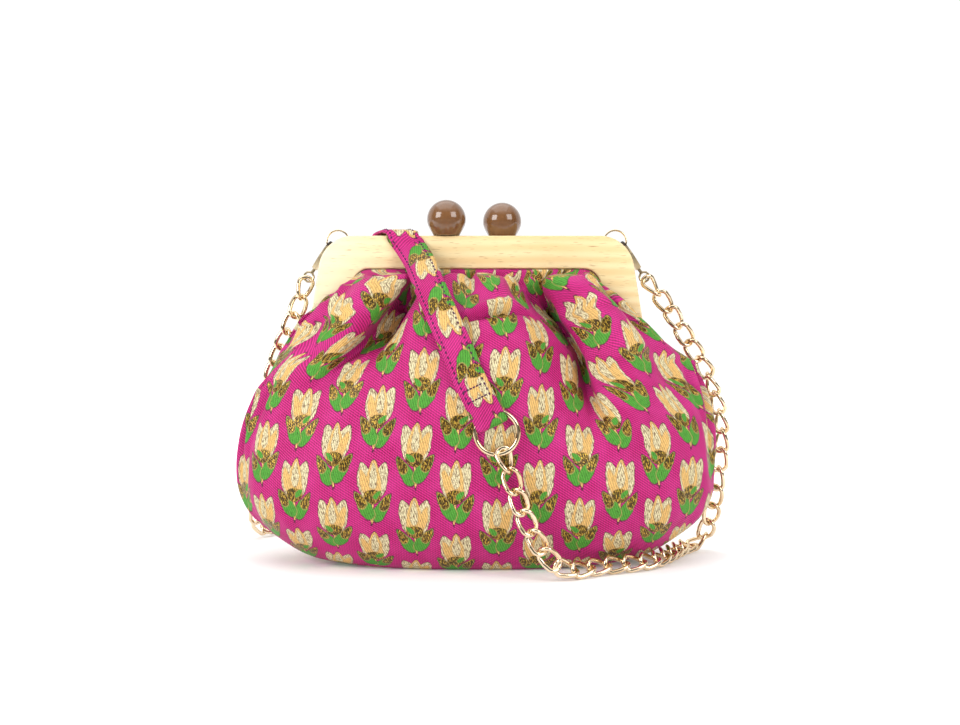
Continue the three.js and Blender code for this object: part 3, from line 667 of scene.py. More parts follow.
@dataclass(frozen=True)
class ShinyFinish:
    """A hard polished finish: plated metal or resin, with a painted dark reflection above a height."""

    # Painted reflection: dark colour and roughness of the band that stands in for the dim room mirrored
    # above a height
    PAINTED_REFLECTION: ClassVar[Colour] = (58, 50, 44)
    PAINTED_REFLECTION_ROUGH: ClassVar[float] = 0.1
    PAINTED_REFLECTION_EDGE: ClassVar[float] = 0.4
    CLOUD_SCALE: ClassVar[float] = 70.0
    CLOUD_SPAN: ClassVar[Span] = (0.35, 0.7)
    BUMP: ClassVar[float] = 0.05
    MARK_HEIGHT: ClassVar[float] = 0.05
    COAT_ROUGH: ClassVar[float] = 0.04
    colour: Colour
    shade: Colour
    metallic: float
    rough: float
    coat: float
    marks: float
    # Height in millimetres where the painted dark reflection starts
    painted_reflection_above: float = 1000.0

    def make(self, name: str, marks_group: NodeTree) -> Material:
        """Builds the material.

        Args:
            name: Name of the material.
            marks_group: Shared group of handling marks.

        Returns:
            The material.
        """
        material, graph, shader = new_material(name)
        place = graph.place()
        marks = graph.use(marks_group, Vector=place, Amount=self.marks)
        cloud = graph.step(graph.noise(place, self.CLOUD_SCALE, 3), *self.CLOUD_SPAN)
        colour = graph.mix(cloud, srgb(self.colour), srgb(self.shade))
        height = graph.parts(place)[2]
        # Painted reflection: dark, glossier colour above the height
        painted_reflection = graph.step(height, self.painted_reflection_above * MM, (self.painted_reflection_above + self.PAINTED_REFLECTION_EDGE) * MM)
        rough = graph.line(painted_reflection, self.PAINTED_REFLECTION_ROUGH - self.rough, self.rough)
        graph.feed(shader, {
            "Base Color": graph.mix(painted_reflection, colour, srgb(self.PAINTED_REFLECTION)),
            "Roughness": graph.math("ADD", marks["Rough"], rough),
            "Normal": graph.relief(marks["Height"], self.BUMP, self.MARK_HEIGHT),
            "Metallic": self.metallic,
            "Coat Weight": self.coat,
            "Coat Roughness": self.COAT_ROUGH,
        })
        return material


@dataclass(frozen=True)
class ThreadFinish:
    """Plain sewing thread."""

    colour: Colour = (74, 12, 66)
    rough: float = 0.7

    def make(self, name: str) -> Material:
        """Builds the material.

        Args:
            name: Name of the material.

        Returns:
            The material.
        """
        material, graph, shader = new_material(name)
        graph.feed(shader, {"Base Color": srgb(self.colour), "Roughness": self.rough})
        return material


GOLD = ShinyFinish((242, 222, 190), (222, 194, 154), 1.0, 0.09, 0.0, 0.08)
# The clasps carry the painted dark reflection above 190.2 mm
BRUSHED_GOLD = ShinyFinish((204, 186, 152), (176, 156, 122), 1.0, 0.3, 0.0, 0.15, 190.2)
RESIN = ShinyFinish((116, 79, 48), (104, 69, 40), 0.0, 0.12, 0.5, 0.05)


# Modelling helpers


SHARP_EDGE = math.radians(40)
ROUND_STEPS = 3


def clear_selection() -> None:
    """Leaves edit mode and deselects everything."""
    if bpy.context.mode != "OBJECT":
        bpy.ops.object.mode_set(mode="OBJECT")
    bpy.ops.object.select_all(action="DESELECT")


def make_active(piece: Piece) -> None:
    """Selects one object alone and makes it active.

    Args:
        piece: The object.
    """
    clear_selection()
    piece.select_set(True)
    bpy.context.view_layer.objects.active = piece


def rename(piece: Piece, name: str) -> Piece:
    """Names a piece and its mesh, and gives it back."""
    piece.name = piece.data.name = name
    return piece


def new_primitive(name: str, operator: Callable[..., Any], **settings: Any) -> Piece:
    """Adds a primitive with nothing else selected.

    Args:
        name: Name of the piece.
        operator: Operator that adds it.
        **settings: Settings of the operator.

    Returns:
        The new object.
    """
    clear_selection()
    operator(**settings)
    return rename(bpy.context.active_object, name)


def select_where(piece: Piece, kind: str, test: Callable[[Any], bool]) -> None:
    """Selects a mesh's parts by a test, in edit mode.

    Args:
        piece: Object in edit mode.
        kind: VERT, EDGE or FACE.
        test: Says whether a part is taken.
    """
    bpy.ops.mesh.select_mode(type=kind)
    bpy.ops.mesh.select_all(action="DESELECT")
    shape = bmesh.from_edit_mesh(piece.data)
    parts = {"VERT": shape.verts, "EDGE": shape.edges, "FACE": shape.faces}[kind]
    for part in parts:
        if test(part):
            part.select_set(True)
    shape.select_flush_mode()
    bmesh.update_edit_mesh(piece.data)


def apply_modifier(piece: Piece, kind: str, **settings: Any) -> None:
    """Adds a modifier to a piece and applies it.

    Args:
        piece: Piece to change.
        kind: Type of the modifier.
        **settings: Properties of the modifier.
    """
    modifier = piece.modifiers.new(kind.lower(), kind)
    for name, value in settings.items():
        setattr(modifier, name, value)
    make_active(piece)
    bpy.ops.object.modifier_apply(modifier=modifier.name)


def round_corners(piece: Piece, width: float) -> None:
    """Rounds the sharp edges of a piece by a width in millimetres."""
    limit = {"limit_method": "ANGLE", "angle_limit": SHARP_EDGE}
    apply_modifier(piece, "BEVEL", width=width * MM, segments=ROUND_STEPS, **limit)


def settle(piece: Piece) -> None:
    """Puts a piece's place, turn and scale into its mesh."""
    make_active(piece)
    bpy.ops.object.transform_apply(location=True, rotation=True, scale=True)


def grid_faces(rows: int, columns: int, closed: bool, start: int = 0) -> list[tuple[int, ...]]:
    """Gives the faces of a grid of points.

    Args:
        rows: Rows of points.
        columns: Points in a row.
        closed: Whether a row goes on from its last point to its first.
        start: Number of the first point.

    Returns:
        Four point numbers for each face.
    """
    faces = []
    for low in range(start, start + (rows - 1) * columns, columns):
        for column in range(columns if closed else columns - 1):
            after = low + (column + 1) % columns
            faces.append((low + column, low + column + columns, after + columns, after))
    return faces


def mesh_piece(name: str, points: Sequence[Vector], faces: Sequence[Sequence[int]]) -> Piece:
    """Makes a piece from points in millimetres.

    Args:
        name: Name of the piece.
        points: Points in millimetres.
        faces: Point numbers of each face.

    Returns:
        The new object, shaded smooth.
    """
    mesh = bpy.data.meshes.new(name)
    mesh.from_pydata([tuple(point * MM) for point in points], [], faces)
    mesh.polygons.foreach_set("use_smooth", [True] * len(mesh.polygons))
    piece = bpy.data.objects.new(name, mesh)
    bpy.context.scene.collection.objects.link(piece)
    return piece


def join_pieces(name: str, pieces: Sequence[Piece]) -> Piece:
    """Joins pieces into one object.

    Args:
        name: Name of the joined piece.
        pieces: Objects to join.

    Returns:
        The joined object.
    """
    make_active(pieces[0])
    for piece in pieces:
        piece.select_set(True)
    bpy.ops.object.join()
    return rename(bpy.context.active_object, name)


def lengths_along(points: Sequence[Vector]) -> list[float]:
    """Gives each point's distance from the first one along the points."""
    steps = ((high - low).length for low, high in zip(points, points[1:]))
    return list(accumulate(steps, initial=0.0))


class SubAssembly:
    """A part of the bag that builds its pieces and dresses them."""

    def dress(self, piece: Piece, material: Material, slot: str, nodes: Sequence[str] = ()) -> None:
        """Gives a piece its material, its body and the nodes that it stands for.

        Args:
            piece: Finished piece.
            material: Its finish.
            slot: Not used.
            nodes: Solids that it replaces.
        """
        piece.data.materials.clear()
        piece.data.materials.append(material)
        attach(piece, BAG_BODY)
        if nodes:
            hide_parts(*nodes)
        LOG.info("%s: %d faces", piece.name, len(piece.data.polygons))


# Cloth pouch


@dataclass(frozen=True)
class Section:
    """A level section of the pouch."""

    z: float
    half_width: float
    half_depth: float
    shift: float = 0.0


@dataclass(frozen=True)
class Fold:
    """A gather that runs down from the mouth; shares run from the left side seam to the right one."""

    FLAT_SIDE: ClassVar[float] = 1.6
    REACH: ClassVar[float] = 5.0
    WIDTHS: ClassVar[Span] = (0.7, 1.6)
    RIDGE: ClassVar[float] = 0.5
    RIDGE_CLEAR: ClassVar[Span] = (1.5, 11.0)
    RIDGE_PLACE: ClassVar[float] = 2.1
    RIDGE_SPREAD: ClassVar[float] = 1.1
    SHARPNESS: ClassVar[float] = 1.5
    SWELL_TO: ClassVar[float] = 0.13
    FADE_FROM: ClassVar[float] = 0.45
    LEAN_PLACE: ClassVar[float] = 1.6
    LEAN_SPREAD: ClassVar[float] = 0.9
    side: Side
    top: float
    foot: float
    start: float
    length: float
    width: float
    depth: float
    roll: float = 0.0

    def move(self, share: float, below: float, span: float) -> tuple[float, float]:
        """Gives how far the fold moves a point of its panel: a valley between two ridges, rolled to a side.

        Args:
            share: Share of the way across the panel.
            below: Distance below the lip.
            span: Width of the panel there.

        Returns:
            Distances outward and across.
        """
        part = (below - self.start) / self.length
        if not 0 < part < 1:
            return 0.0, 0.0
        width = self.width * blend(*self.WIDTHS, part)
        across = (share - blend(self.top, self.foot, part)) * span / width
        if across * self.roll < 0:
            across /= 1 + self.FLAT_SIDE * abs(self.roll)
        if abs(across) > self.REACH:
            return 0.0, 0.0
        fade = smooth_step(part, 0, self.SWELL_TO) * (1 - smooth_step(part, self.FADE_FROM, 1.0))
        depth = self.depth * fade
        valley = math.exp(-(abs(across) ** self.SHARPNESS))
        ridge = self.RIDGE * math.exp(-((abs(across) - self.RIDGE_PLACE) ** 2) / self.RIDGE_SPREAD)
        leaning = across * math.copysign(1, self.roll) - self.LEAN_PLACE
        drag = self.roll * depth * math.exp(-(leaning**2) / self.LEAN_SPREAD)
        return depth * (ridge * smooth_step(below, *self.RIDGE_CLEAR) - valley), drag


@dataclass(frozen=True)
class Tuck:
    """A short crease across the front panel, under a hood of cloth."""

    HOOD_RISE: ClassVar[float] = 2.8
    HOOD_SPREAD: ClassVar[float] = 2.6
    CREASE_DROP: ClassVar[float] = 0.7
    CREASE_SPREAD: ClassVar[float] = 1.2
    END: ClassVar[float] = 1.3
    x: float
    z: float
    half_length: float
    rise: float
    depth: float

    def move(self, point: Vector) -> float:
        """Gives how far the crease moves a point outward.

        Args:
            point: Point of the front panel.

        Returns:
            The distance.
        """
        along = (point.x - self.x) / self.half_length / self.END
        if abs(along) >= 1:
            return 0.0
        height = point.z - self.z - self.rise * (point.x - self.x)
        hood = math.exp(-(((height - self.HOOD_RISE) / self.HOOD_SPREAD) ** 2))
        crease = math.exp(-(((height + self.CREASE_DROP) / self.CREASE_SPREAD) ** 2))
        return self.depth * (1 - along**2) ** 2 * (hood - crease)


@dataclass(frozen=True)
class Shoulder:
    """How far the cloth puffs out over a leg of the frame, how it sinks and how it meets the belly."""

    puff: float
    droop: float
    meet: float


@dataclass
class ClothPouch(SubAssembly):
    """The gathered pouch."""

    columns: int = 320
    section_steps: int = 6
    gather_rows: int = 64
    base_rings: int = 5
    wall: float = 1.6
    squareness: float = 2.3
    rim_inset: float = 0.6
    rim_depth: float = 6.0
    lip_depth: float = 10.7
    foot_drop: float = 0.8
    crotch: float = 9.0
    crotch_bend: float = 1.62
    seam_share: float = 2 / 34
    seam_dent: float = 1.2
    seam_width: float = 1.6
    column_hold: float = 0.55
    bar_clear: float = 0.2
    bar_round: float = 2.4
    bar_round_reach: float = 8.0
    mouth_leave: float = 50.0
    mouth_drop: float = -0.5
    mouth_out: Span = (0.9, 0.4)
    leg_span: Span = (0.45, 0.75)
    seam_rise: float = 0.1
    seam_span: Span = (4.0, 20.0)
    swell_span: Span = (20.0, 70.0)
    base_span: Span = (4.0, 30.0)
    belly_meet: float = 55.0
    panel_span: float = 205.0
    panel_growth: float = 1.3
    growth_reach: float = 90.0
    left_shoulder: Shoulder = Shoulder(62.0, 0.1, 40.0)
    right_shoulder: Shoulder = Shoulder(22.0, 0.65, 26.0)
    sections: Sequence[Section] = (
        Section(0, 80, 30),
        Section(2, 92, 34.5),
        Section(5.5, 104, 38.5),
        Section(13, 117, 44),
        Section(26, 133, 51),
        Section(40, 140.5, 55),
        Section(56, 141.5, 56),
        Section(76, 139.5, 55, 1.2),
        Section(98, 134.5, 51.5, 3.0),
        Section(119, 126.5, 45, 4.6),
    )
    folds: Sequence[Fold] = (
        Fold(Side.FRONT, 0.335, 0.258, 0, 94, 5.8, 21.0, -0.75),
        Fold(Side.FRONT, 0.352, 0.344, 16, 60, 4.4, 9.0, -0.4),
        Fold(Side.FRONT, 0.265, 0.19, 8, 60, 10.0, -4.0),
        Fold(Side.FRONT, 0.415, 0.43, 0, 52, 4.0, 7.0, -0.2),
        Fold(Side.FRONT, 0.487, 0.48, 0, 44, 3.6, 7.5, 0.3),
        Fold(Side.FRONT, 0.556, 0.57, 0, 46, 3.6, 7.5, 0.3),
        Fold(Side.FRONT, 0.608, 0.60, 0, 48, 3.4, 6.5, 0.3),
        Fold(Side.FRONT, 0.667, 0.630, 0, 146, 7.8, 26.0, 0.7),
        Fold(Side.FRONT, 0.712, 0.688, 24, 100, 5.6, 11.0, 0.5),
        Fold(Side.FRONT, 0.735, 0.755, 8, 60, 8.0, -3.5),
        Fold(Side.FRONT, 0.79, 0.77, 8, 66, 4.5, 5.0, 0.2),
        Fold(Side.FRONT, 0.20, 0.235, 34, 60, 6.0, 4.0),
        Fold(Side.FRONT, 0.70, 0.72, 80, 70, 12.0, 4.0),
        Fold(Side.FRONT, 0.062, 0.05, 60, 90, 4.0, 5.0, -0.4),
        Fold(Side.FRONT, 0.12, 0.10, 70, 80, 6.0, 3.0),
        Fold(Side.FRONT, 0.93, 0.945, 50, 90, 4.0, 5.5, 0.4),
        Fold(Side.FRONT, 0.87, 0.90, 60, 80, 6.0, 3.0),
        Fold(Side.BACK, 0.24, 0.26, 0, 70, 5.0, 8.0),
        Fold(Side.BACK, 0.36, 0.37, 0, 60, 4.5, 7.0),
        Fold(Side.BACK, 0.47, 0.47, 0, 50, 4.5, 6.0),
        Fold(Side.BACK, 0.59, 0.61, 0, 70, 4.5, 7.0),
        Fold(Side.BACK, 0.71, 0.70, 0, 60, 4.5, 7.0),
        Fold(Side.BACK, 0.80, 0.76, 4, 76, 5.0, 7.0),
    )
    tucks: Sequence[Tuck] = (
        Tuck(10, 141.5, 20, 0.16, 6.5),
        Tuck(-75, 118, 14, 0.5, 2.0),
        Tuck(88, 118, 14, -0.4, 2.0),
    )
    pleats: int = 26
    pleat_seed: int = 7
    pleat_run: Span = (0.12, 0.88)
    pleat_shift: Span = (0.2, 0.8)
    pleat_fan: Span = (0.9, 1.08)
    pleat_length: Span = (16, 46)
    pleat_width: Span = (1.7, 3.2)
    pleat_depth: Span = (1.2, 3.4)
    swell: float = 0.7
    # Size, count round the pouch, lean and start of each wave
    waves: Sequence[Sequence[float]] = ((1.0, 3, 0.05, 0.0), (0.7, 7, -0.06, 1.3))
    # Size of each ripple, and its rates across, up and from panel to panel
    ripples: Sequence[Sequence[float]] = ((2.6, 14, 0.016, 9), (1.04, 34, 0.03, 5))

    def build(self) -> Piece:
        """Builds the wall of the pouch with its UV map in cloth millimetres.

        Returns:
            The pouch.
        """
        rows = self._rows()
        shaped = self._folded(rows)
        base = self._base(shaped[0])
        points = [point for ring in base + shaped for point in ring]
        rings = len(base) + len(shaped)
        faces = [(a, d, c, b) for a, b, c, d in grid_faces(rings, self.columns, True)]
        middle = len(points)
        points.append(Vector((0, 0, 0)))
        faces += [(middle, (column + 1) % self.columns, column) for column in range(self.columns)]
        pouch = mesh_piece("pouch", points, faces)
        self._map(pouch, shaped, len(base))
        apply_modifier(pouch, "SOLIDIFY", thickness=self.wall * MM, offset=-1, use_even_offset=False)
        return pouch

    def _turn(self, column: float) -> float:
        """Gives a column's angle round the pouch, from the left seam over the front."""
        return math.pi * (1 + 2 * column / self.columns)

    def _share(self, column: float) -> tuple[Side, float]:
        """Gives a column's panel and its share of the way from the left seam to the right one."""
        share = column / (self.columns / 2)
        return (Side.FRONT, share) if share < 1 else (Side.BACK, 2 - share)

    def _mouth(self, share: float) -> tuple[float, float]:
        """Follows the mouth up one leg, round the corner and along the bar, and down the other way.

        Args:
            share: Share of the way along the mouth.

        Returns:
            The mouth's x and z there.
        """
        top = FRAME_BAR_BOTTOM - self.rim_inset
        foot = FRAME_FOOT - self.foot_drop
        corner = top - self.crotch
        leg_foot = arch_opening(foot) - self.rim_inset
        leg_top = arch_opening(corner) - self.rim_inset
        bar_end = arch_opening(top) - self.rim_inset - self.crotch
        leg = math.hypot(leg_foot - leg_top, corner - foot)
        bend = self.crotch * self.crotch_bend
        sign = 1 if share > 0.5 else -1
        run = min(share, 1 - share) * 2 * (leg + bend + bar_end)
        if run <= leg:
            return sign * blend(leg_foot, leg_top, run / leg), blend(foot, corner, run / leg)
        if run <= leg + bend:
            part = (run - leg) / bend
            rest = (1 - part) ** 2
            x = rest * leg_top + 2 * part * (1 - part) * (bar_end + self.crotch) + part**2 * bar_end
            return sign * x, rest * corner + (1 - rest) * top
        return sign * (bar_end - (run - leg - bend)), top

    def _mouth_point(self, column: int, depth: float) -> Vector:
        """Finds a point of the mouth, drawn in at the side seams.

        Args:
            column: Column of the point.
            depth: Distance from the middle plane.

        Returns:
            The point.
        """
        side, share = self._share(column)
        along = min(1.0, max(0.0, (share - self.seam_share) / (1 - 2 * self.seam_share)))
        x, z = self._mouth(along)
        in_seam = min(1.0, share / self.seam_share, (1 - share) / self.seam_share)
        tuck = (1 - in_seam) * (self.lip_depth - depth) * math.copysign(1, x)
        return Vector((x - tuck, side.value * depth * in_seam, z))

    def _section_point(self, column: int, section: Section) -> Vector:
        """Finds a point of a level section, which is an oval with squared ends.

        Args:
            column: Column of the point.
            section: Section to follow.

        Returns:
            The point.
        """
        turn = self._turn(column)
        circle = (math.cos(turn), math.sin(turn))
        cos, sin = (math.copysign(abs(part) ** (2 / self.squareness), part) for part in circle)
        return Vector((section.half_width * cos + section.shift, section.half_depth * sin, section.z))

    def _gather_point(self, column: int, share: float) -> Vector:
        """Finds a point between the shoulder and the lip, puffed out over the legs.

        Args:
            column: Column of the point.
            share: Share of the way up to the lip.

        Returns:
            The point.
        """
        side, place = self._share(column)
        lip = self._mouth_point(column, self.lip_depth)
        top = self._section_point(column, self.sections[-1])
        below = self._section_point(column, self.sections[-2])
        over_leg = smooth_step(abs(2 * place - 1), *self.leg_span)
        shoulder = self.right_shoulder if place > 0.5 else self.left_shoulder
        past_seam = min(1.0, max(0.0, min(place, 1 - place) / self.seam_share - 1))
        rise = blend(self.mouth_drop, past_seam * self.seam_rise - shoulder.droop, over_leg)
        out = side.value * blend(*self.mouth_out, over_leg)
        leave = Vector((math.copysign(over_leg, place - 0.5), out, rise))
        leave *= self.mouth_leave + shoulder.puff * over_leg
        arrive = (below - top).normalized() * blend(self.belly_meet, shoulder.meet, over_leg)
        return hermite(lip, top, leave, arrive, 1 - share)

    def _smooth_sections(self) -> list[Section]:
        """Finds finer sections on a smooth curve through the listed ones.

        Returns:
            The sections from the base up.
        """
        table = [Vector((row.z, row.half_width, row.half_depth, row.shift)) for row in self.sections]
        last = len(table) - 1
        finer = []
        for number in range(last):
            before, start, end, after = (table[min(max(number + shift, 0), last)] for shift in (-1, 0, 1, 2))
            for step in range(self.section_steps):
                share = step / self.section_steps
                finer.append(Section(*hermite(start, end, (end - before) / 2, (after - start) / 2, share)))
        return [*finer, self.sections[last]]

    def _rows(self) -> list[list[Vector]]:
        """Finds the smooth outer rows of points.

        Returns:
            Rows from the base's edge up to the rim.
        """
        columns = range(self.columns)
        sections = self._smooth_sections()
        rows = [[self._section_point(column, section) for column in columns] for section in sections]
        for step in range(1, self.gather_rows):
            rows.append([self._gather_point(column, step / self.gather_rows) for column in columns])
        for depth in (self.lip_depth, (self.lip_depth + self.rim_depth) / 2, self.rim_depth):
            rows.append([self._mouth_point(column, depth) for column in columns])
        return rows

    def _folded(self, rows: list[list[Vector]]) -> list[list[Vector]]:
        """Folds the rows, and keeps the cloth below the bar of the frame.

        Args:
            rows: Smooth rows.

        Returns:
            Folded rows.
        """
        up = self._up(rows)
        lip = len(rows) - 3
        folds = (*self.folds, *self._random_pleats())
        under_bar = arch_opening(FRAME_BAR_BOTTOM) - self.crotch
        shaped = []
        for number, row in enumerate(rows):
            low = rows[max(number - 1, 0)]
            high = rows[min(number + 1, len(rows) - 1)]
            ring = []
            for column, point in enumerate(row):
                around = (row[(column + 1) % self.columns] - row[column - 1]).normalized()
                outward = around.cross(high[column] - low[column]).normalized()
                below = up[column][lip] - up[column][number]
                depth, slide = self._fold_move(column, point, below, folds)
                moved = point + outward * depth + around * slide
                if abs(moved.x) < under_bar:
                    forward = max(0.0, abs(moved.y) - self.lip_depth)
                    limit = FRAME_BAR_BOTTOM - self.rim_inset - self.bar_clear * forward
                    softness = self.bar_round * smooth_step(forward, 0, self.bar_round_reach)
                    moved.z = soft_least(moved.z, limit, softness)
                ring.append(moved)
            shaped.append(ring)
        return shaped

    def _up(self, rows: list[list[Vector]]) -> list[list[float]]:
        """Measures the way up the cloth along each column."""
        return [lengths_along([row[column] for row in rows]) for column in range(self.columns)]

    def _random_pleats(self) -> list[Fold]:
        """Draws small uneven pleats all along the mouth.

        Returns:
            The pleats of both panels.
        """
        draw = random.Random(self.pleat_seed)
        pleats = []
        for side in Side:
            for number in range(self.pleats):
                top = blend(*self.pleat_run, (number + draw.uniform(*self.pleat_shift)) / self.pleats)
                foot = 0.5 + (top - 0.5) * draw.uniform(*self.pleat_fan)
                sizes = [draw.uniform(*r) for r in (self.pleat_length, self.pleat_width, self.pleat_depth)]
                pleats.append(Fold(side, top, foot, 0, *sizes))
        return pleats

    def _fold_move(
        self, column: int, point: Vector, below: float, folds: Sequence[Fold]
    ) -> tuple[float, float]:
        """Gives how far a point of the cloth moves.

        Args:
            column: Column of the point.
            point: Its smooth place.
            below: Its distance below the lip.
            folds: Listed folds and random pleats.

        Returns:
            Distances outward and round the pouch.
        """
        if below <= 0:
            return 0.0, 0.0
        side, share = self._share(column)
        span = self.panel_span + self.panel_growth * min(below, self.growth_reach)
        moves = [fold.move(share, below, span) for fold in folds if fold.side is side]
        depth = sum(move[0] for move in moves)
        slide = sum(move[1] for move in moves)
        if side is Side.FRONT:
            depth += sum(tuck.move(point) for tuck in self.tucks)
        seam = min(share, 1 - share) * span / self.seam_width
        depth -= self.seam_dent * math.exp(-(seam**2)) * smooth_step(below, *self.seam_span)
        angle = self._turn(column)
        swell = 0.0
        for size, count, lean, start in self.waves:
            swell += size * math.sin(count * angle + lean * point.z + start)
        for size, across, up, panel in self.ripples:
            swell += size * noise.noise(Vector((across * share, up * point.z, panel * side.value)))
        swell *= smooth_step(below, *self.swell_span) * smooth_step(point.z, *self.base_span)
        depth += self.swell * swell
        return depth, slide * side.value

    def _base(self, edge: Sequence[Vector]) -> list[list[Vector]]:
        """Lays rings of the flat base from near its middle out to near its edge."""
        shares = [number / self.base_rings for number in range(1, self.base_rings)]
        return [[Vector((point.x * share, point.y * share, 0)) for point in edge] for share in shares]

    def _map(self, pouch: Piece, rows: list[list[Vector]], base_rings: int) -> None:
        """Lays the cloth's own millimetres out as the pouch's UV map.

        Args:
            pouch: Pouch without a wall.
            rows: Folded rows.
            base_rings: Rings of the base below them.
        """
        count = self.columns
        half = count // 2
        belly = max(range(len(rows)), key=lambda number: rows[number][half].x)
        up = self._up(rows)
        across = [self._across(row) for row in rows]
        layer = pouch.data.uv_layers.new(name=CLOTH_UV)
        for face in pouch.data.polygons:
            vertices = [pouch.data.loops[loop].vertex_index for loop in face.loop_indices]
            columns = [vertex % count for vertex in vertices]
            wraps = max(columns) - min(columns) > half
            back = wraps or min(columns) >= half
            for loop, vertex, column in zip(face.loop_indices, vertices, columns):
                ring = min(max(vertex // count - base_rings, 0), len(rows) - 1)
                place = (count if wraps and column == 0 else column) - half * back
                kept = smooth_step(ring - belly, 0, len(rows) - belly) * self.column_hold
                wide = blend(across[ring][back][place], across[belly][back][place], kept)
                height = up[column][ring] - up[column][belly]
                if vertex // count < base_rings:
                    share = (vertex // count + 1) / (base_rings + 1)
                    wide *= share
                    height -= self.sections[0].half_depth * (1 - share)
                layer.data[loop].uv = (wide / UV_UNIT, height / UV_UNIT)

    def _across(self, row: Sequence[Vector]) -> list[list[float]]:
        """Measures each column's distance across its panel from the panel's middle.

        Args:
            row: Folded row.

        Returns:
            Distances of the front and of the back panel.
        """
        half = self.columns // 2
        panels = []
        for panel in (row[: half + 1], [*row[half:], row[0]]):
            lengths = lengths_along(panel)
            panels.append([length - lengths[half // 2] for length in lengths])
        return panels


# Routes


@dataclass(frozen=True)
class Stop:
    """A place on a route, the way that the route faces and rolls there and how it is folded over an edge."""

    x: float
    y: float
    z: float
    face: Facing
    fold: float = 0.0
    roll: float = 0.0

    @property
    def point(self) -> Vector:
        """The place as a vector."""
        return Vector((self.x, self.y, self.z))

    @property
    def angle(self) -> float:
        """The way that the route faces, as an angle."""
        return self.face.value


def facing(angle: float) -> Vector:
    """Gives a direction turned about X from the front over the top to the back."""
    return Vector((0, -math.cos(angle), math.sin(angle)))


def facing_stops(face: Facing, *places: Sequence[float]) -> tuple[Stop, ...]:
    """Makes stops that face one way, from their x, y, z, fold and roll."""
    return tuple(Stop(*place[:3], face, *place[3:]) for place in places)


class Route:
    """A smooth curve through stops, with the way that it faces along its length."""

    SAMPLES = 60
    NEAR = 0.01

    def __init__(self, stops: Sequence[Stop]) -> None:
        """Measures the curve.

        Args:
            stops: Places on the route.
        """
        self.stops = list(stops)
        self.last = len(self.stops) - 1
        steps = range(self.last * self.SAMPLES + 1)
        self.marks = lengths_along([self.point(step / self.SAMPLES) for step in steps])
        self.length = self.marks[-1]

    def point(self, row: float) -> Vector:
        """Finds a point of the curve.

        Args:
            row: Number of a stop, with a part of the way to the next.

        Returns:
            The point.
        """
        low = min(int(row), self.last - 1)
        start = self.stops[low].point
        end = self.stops[low + 1].point
        before = self.stops[low - 1].point if low > 0 else start * 2 - end
        after = self.stops[low + 2].point if low + 2 <= self.last else end * 2 - start
        pairs = ((before, start), (start, end), (end, after))
        first, here, last = (math.sqrt(max((b - a).length, 1e-4)) for a, b in pairs)
        leave = (start - before) / first - (end - before) / (first + here) + (end - start) / here
        arrive = (end - start) / here - (after - start) / (here + last) + (after - end) / last
        return hermite(start, end, leave * here, arrive * here, row - low)

    def travel(self, row: float) -> Vector:
        """Gives the direction of travel at a stop's number."""
        ahead = self.point(min(row + self.NEAR, self.last))
        return (ahead - self.point(max(row - self.NEAR, 0))).normalized()

    def row_at(self, distance: float) -> float:
        """Finds the place on the route at a distance along it.

        Args:
            distance: Distance from the start.

        Returns:
            Number of a stop, with a part.
        """
        low = min(max(bisect_right(self.marks, distance) - 1, 0), len(self.marks) - 2)
        part = (distance - self.marks[low]) / (self.marks[low + 1] - self.marks[low])
        return (low + min(max(part, 0), 1)) / self.SAMPLES

    def value(self, name: str, row: float) -> float:
        """Gives a stop's value at a number with a part."""
        low = min(int(row), self.last - 1)
        return blend(getattr(self.stops[low], name), getattr(self.stops[low + 1], name), row - low)

    def face(self, row: float, travel: Vector) -> Vector:
        """Finds the way that the route faces, square to its travel.

        Args:
            row: Number of a stop, with a part.
            travel: Direction of travel there.

        Returns:
            The direction.
        """
        out = facing(self.value("angle", row))
        out = (out - travel * out.dot(travel)).normalized()
        out.rotate(Matrix.Rotation(self.value("roll", row), 3, travel))
        return out


# Strap


STRAP_STOPS = (
    *facing_stops(Facing.FRONT, (2.2, -58.5, 98), (-3.6, -54, 110), (-10.3, -48.5, 126),
                  (-17.9, -39.5, 143), (-25.7, -29.5, 160.6), (-33.4, -17, 178),
                  (-40.4, -11.4, 189, 0.6), (-43.2, -11.4, 193.2, 1)),
    *facing_stops(Facing.FRONT_EDGE, (-44.6, -10.6, 196.2, 1)),
    *facing_stops(Facing.UP, (-46.2, -8.2, 197.6, 1), (-50, 0, 198.2, 0.6), (-53.8, 8.2, 197.4, 1)),
    *facing_stops(Facing.BACK_EDGE, (-55, 10.6, 196, 1)),
    *facing_stops(Facing.BACK, (-55.6, 11.3, 193, 1), (-57, 11.6, 189, 0.6), (-63.5, 17, 175),
                  (-72, 32, 150), (-82, 46, 118), (-91, 54.5, 84)),
)


@dataclass(frozen=True)
class BandSection:
    """A section across the strap."""

    point: Vector
    travel: Vector
    wide: Vector

    @property
    def out(self) -> Vector:
        """The way that the section faces."""
        return self.wide.cross(self.travel).normalized()

    def at(self, share: float, width: float, lift: float = 0.0) -> Vector:
        """Gives a point across the section, from -1 at one edge to 1 at the other."""
        skew = math.sqrt(max(1e-6, 1 - self.wide.dot(self.travel) ** 2))
        return self.point + self.wide * (share * width / 2 / skew) + self.out * lift


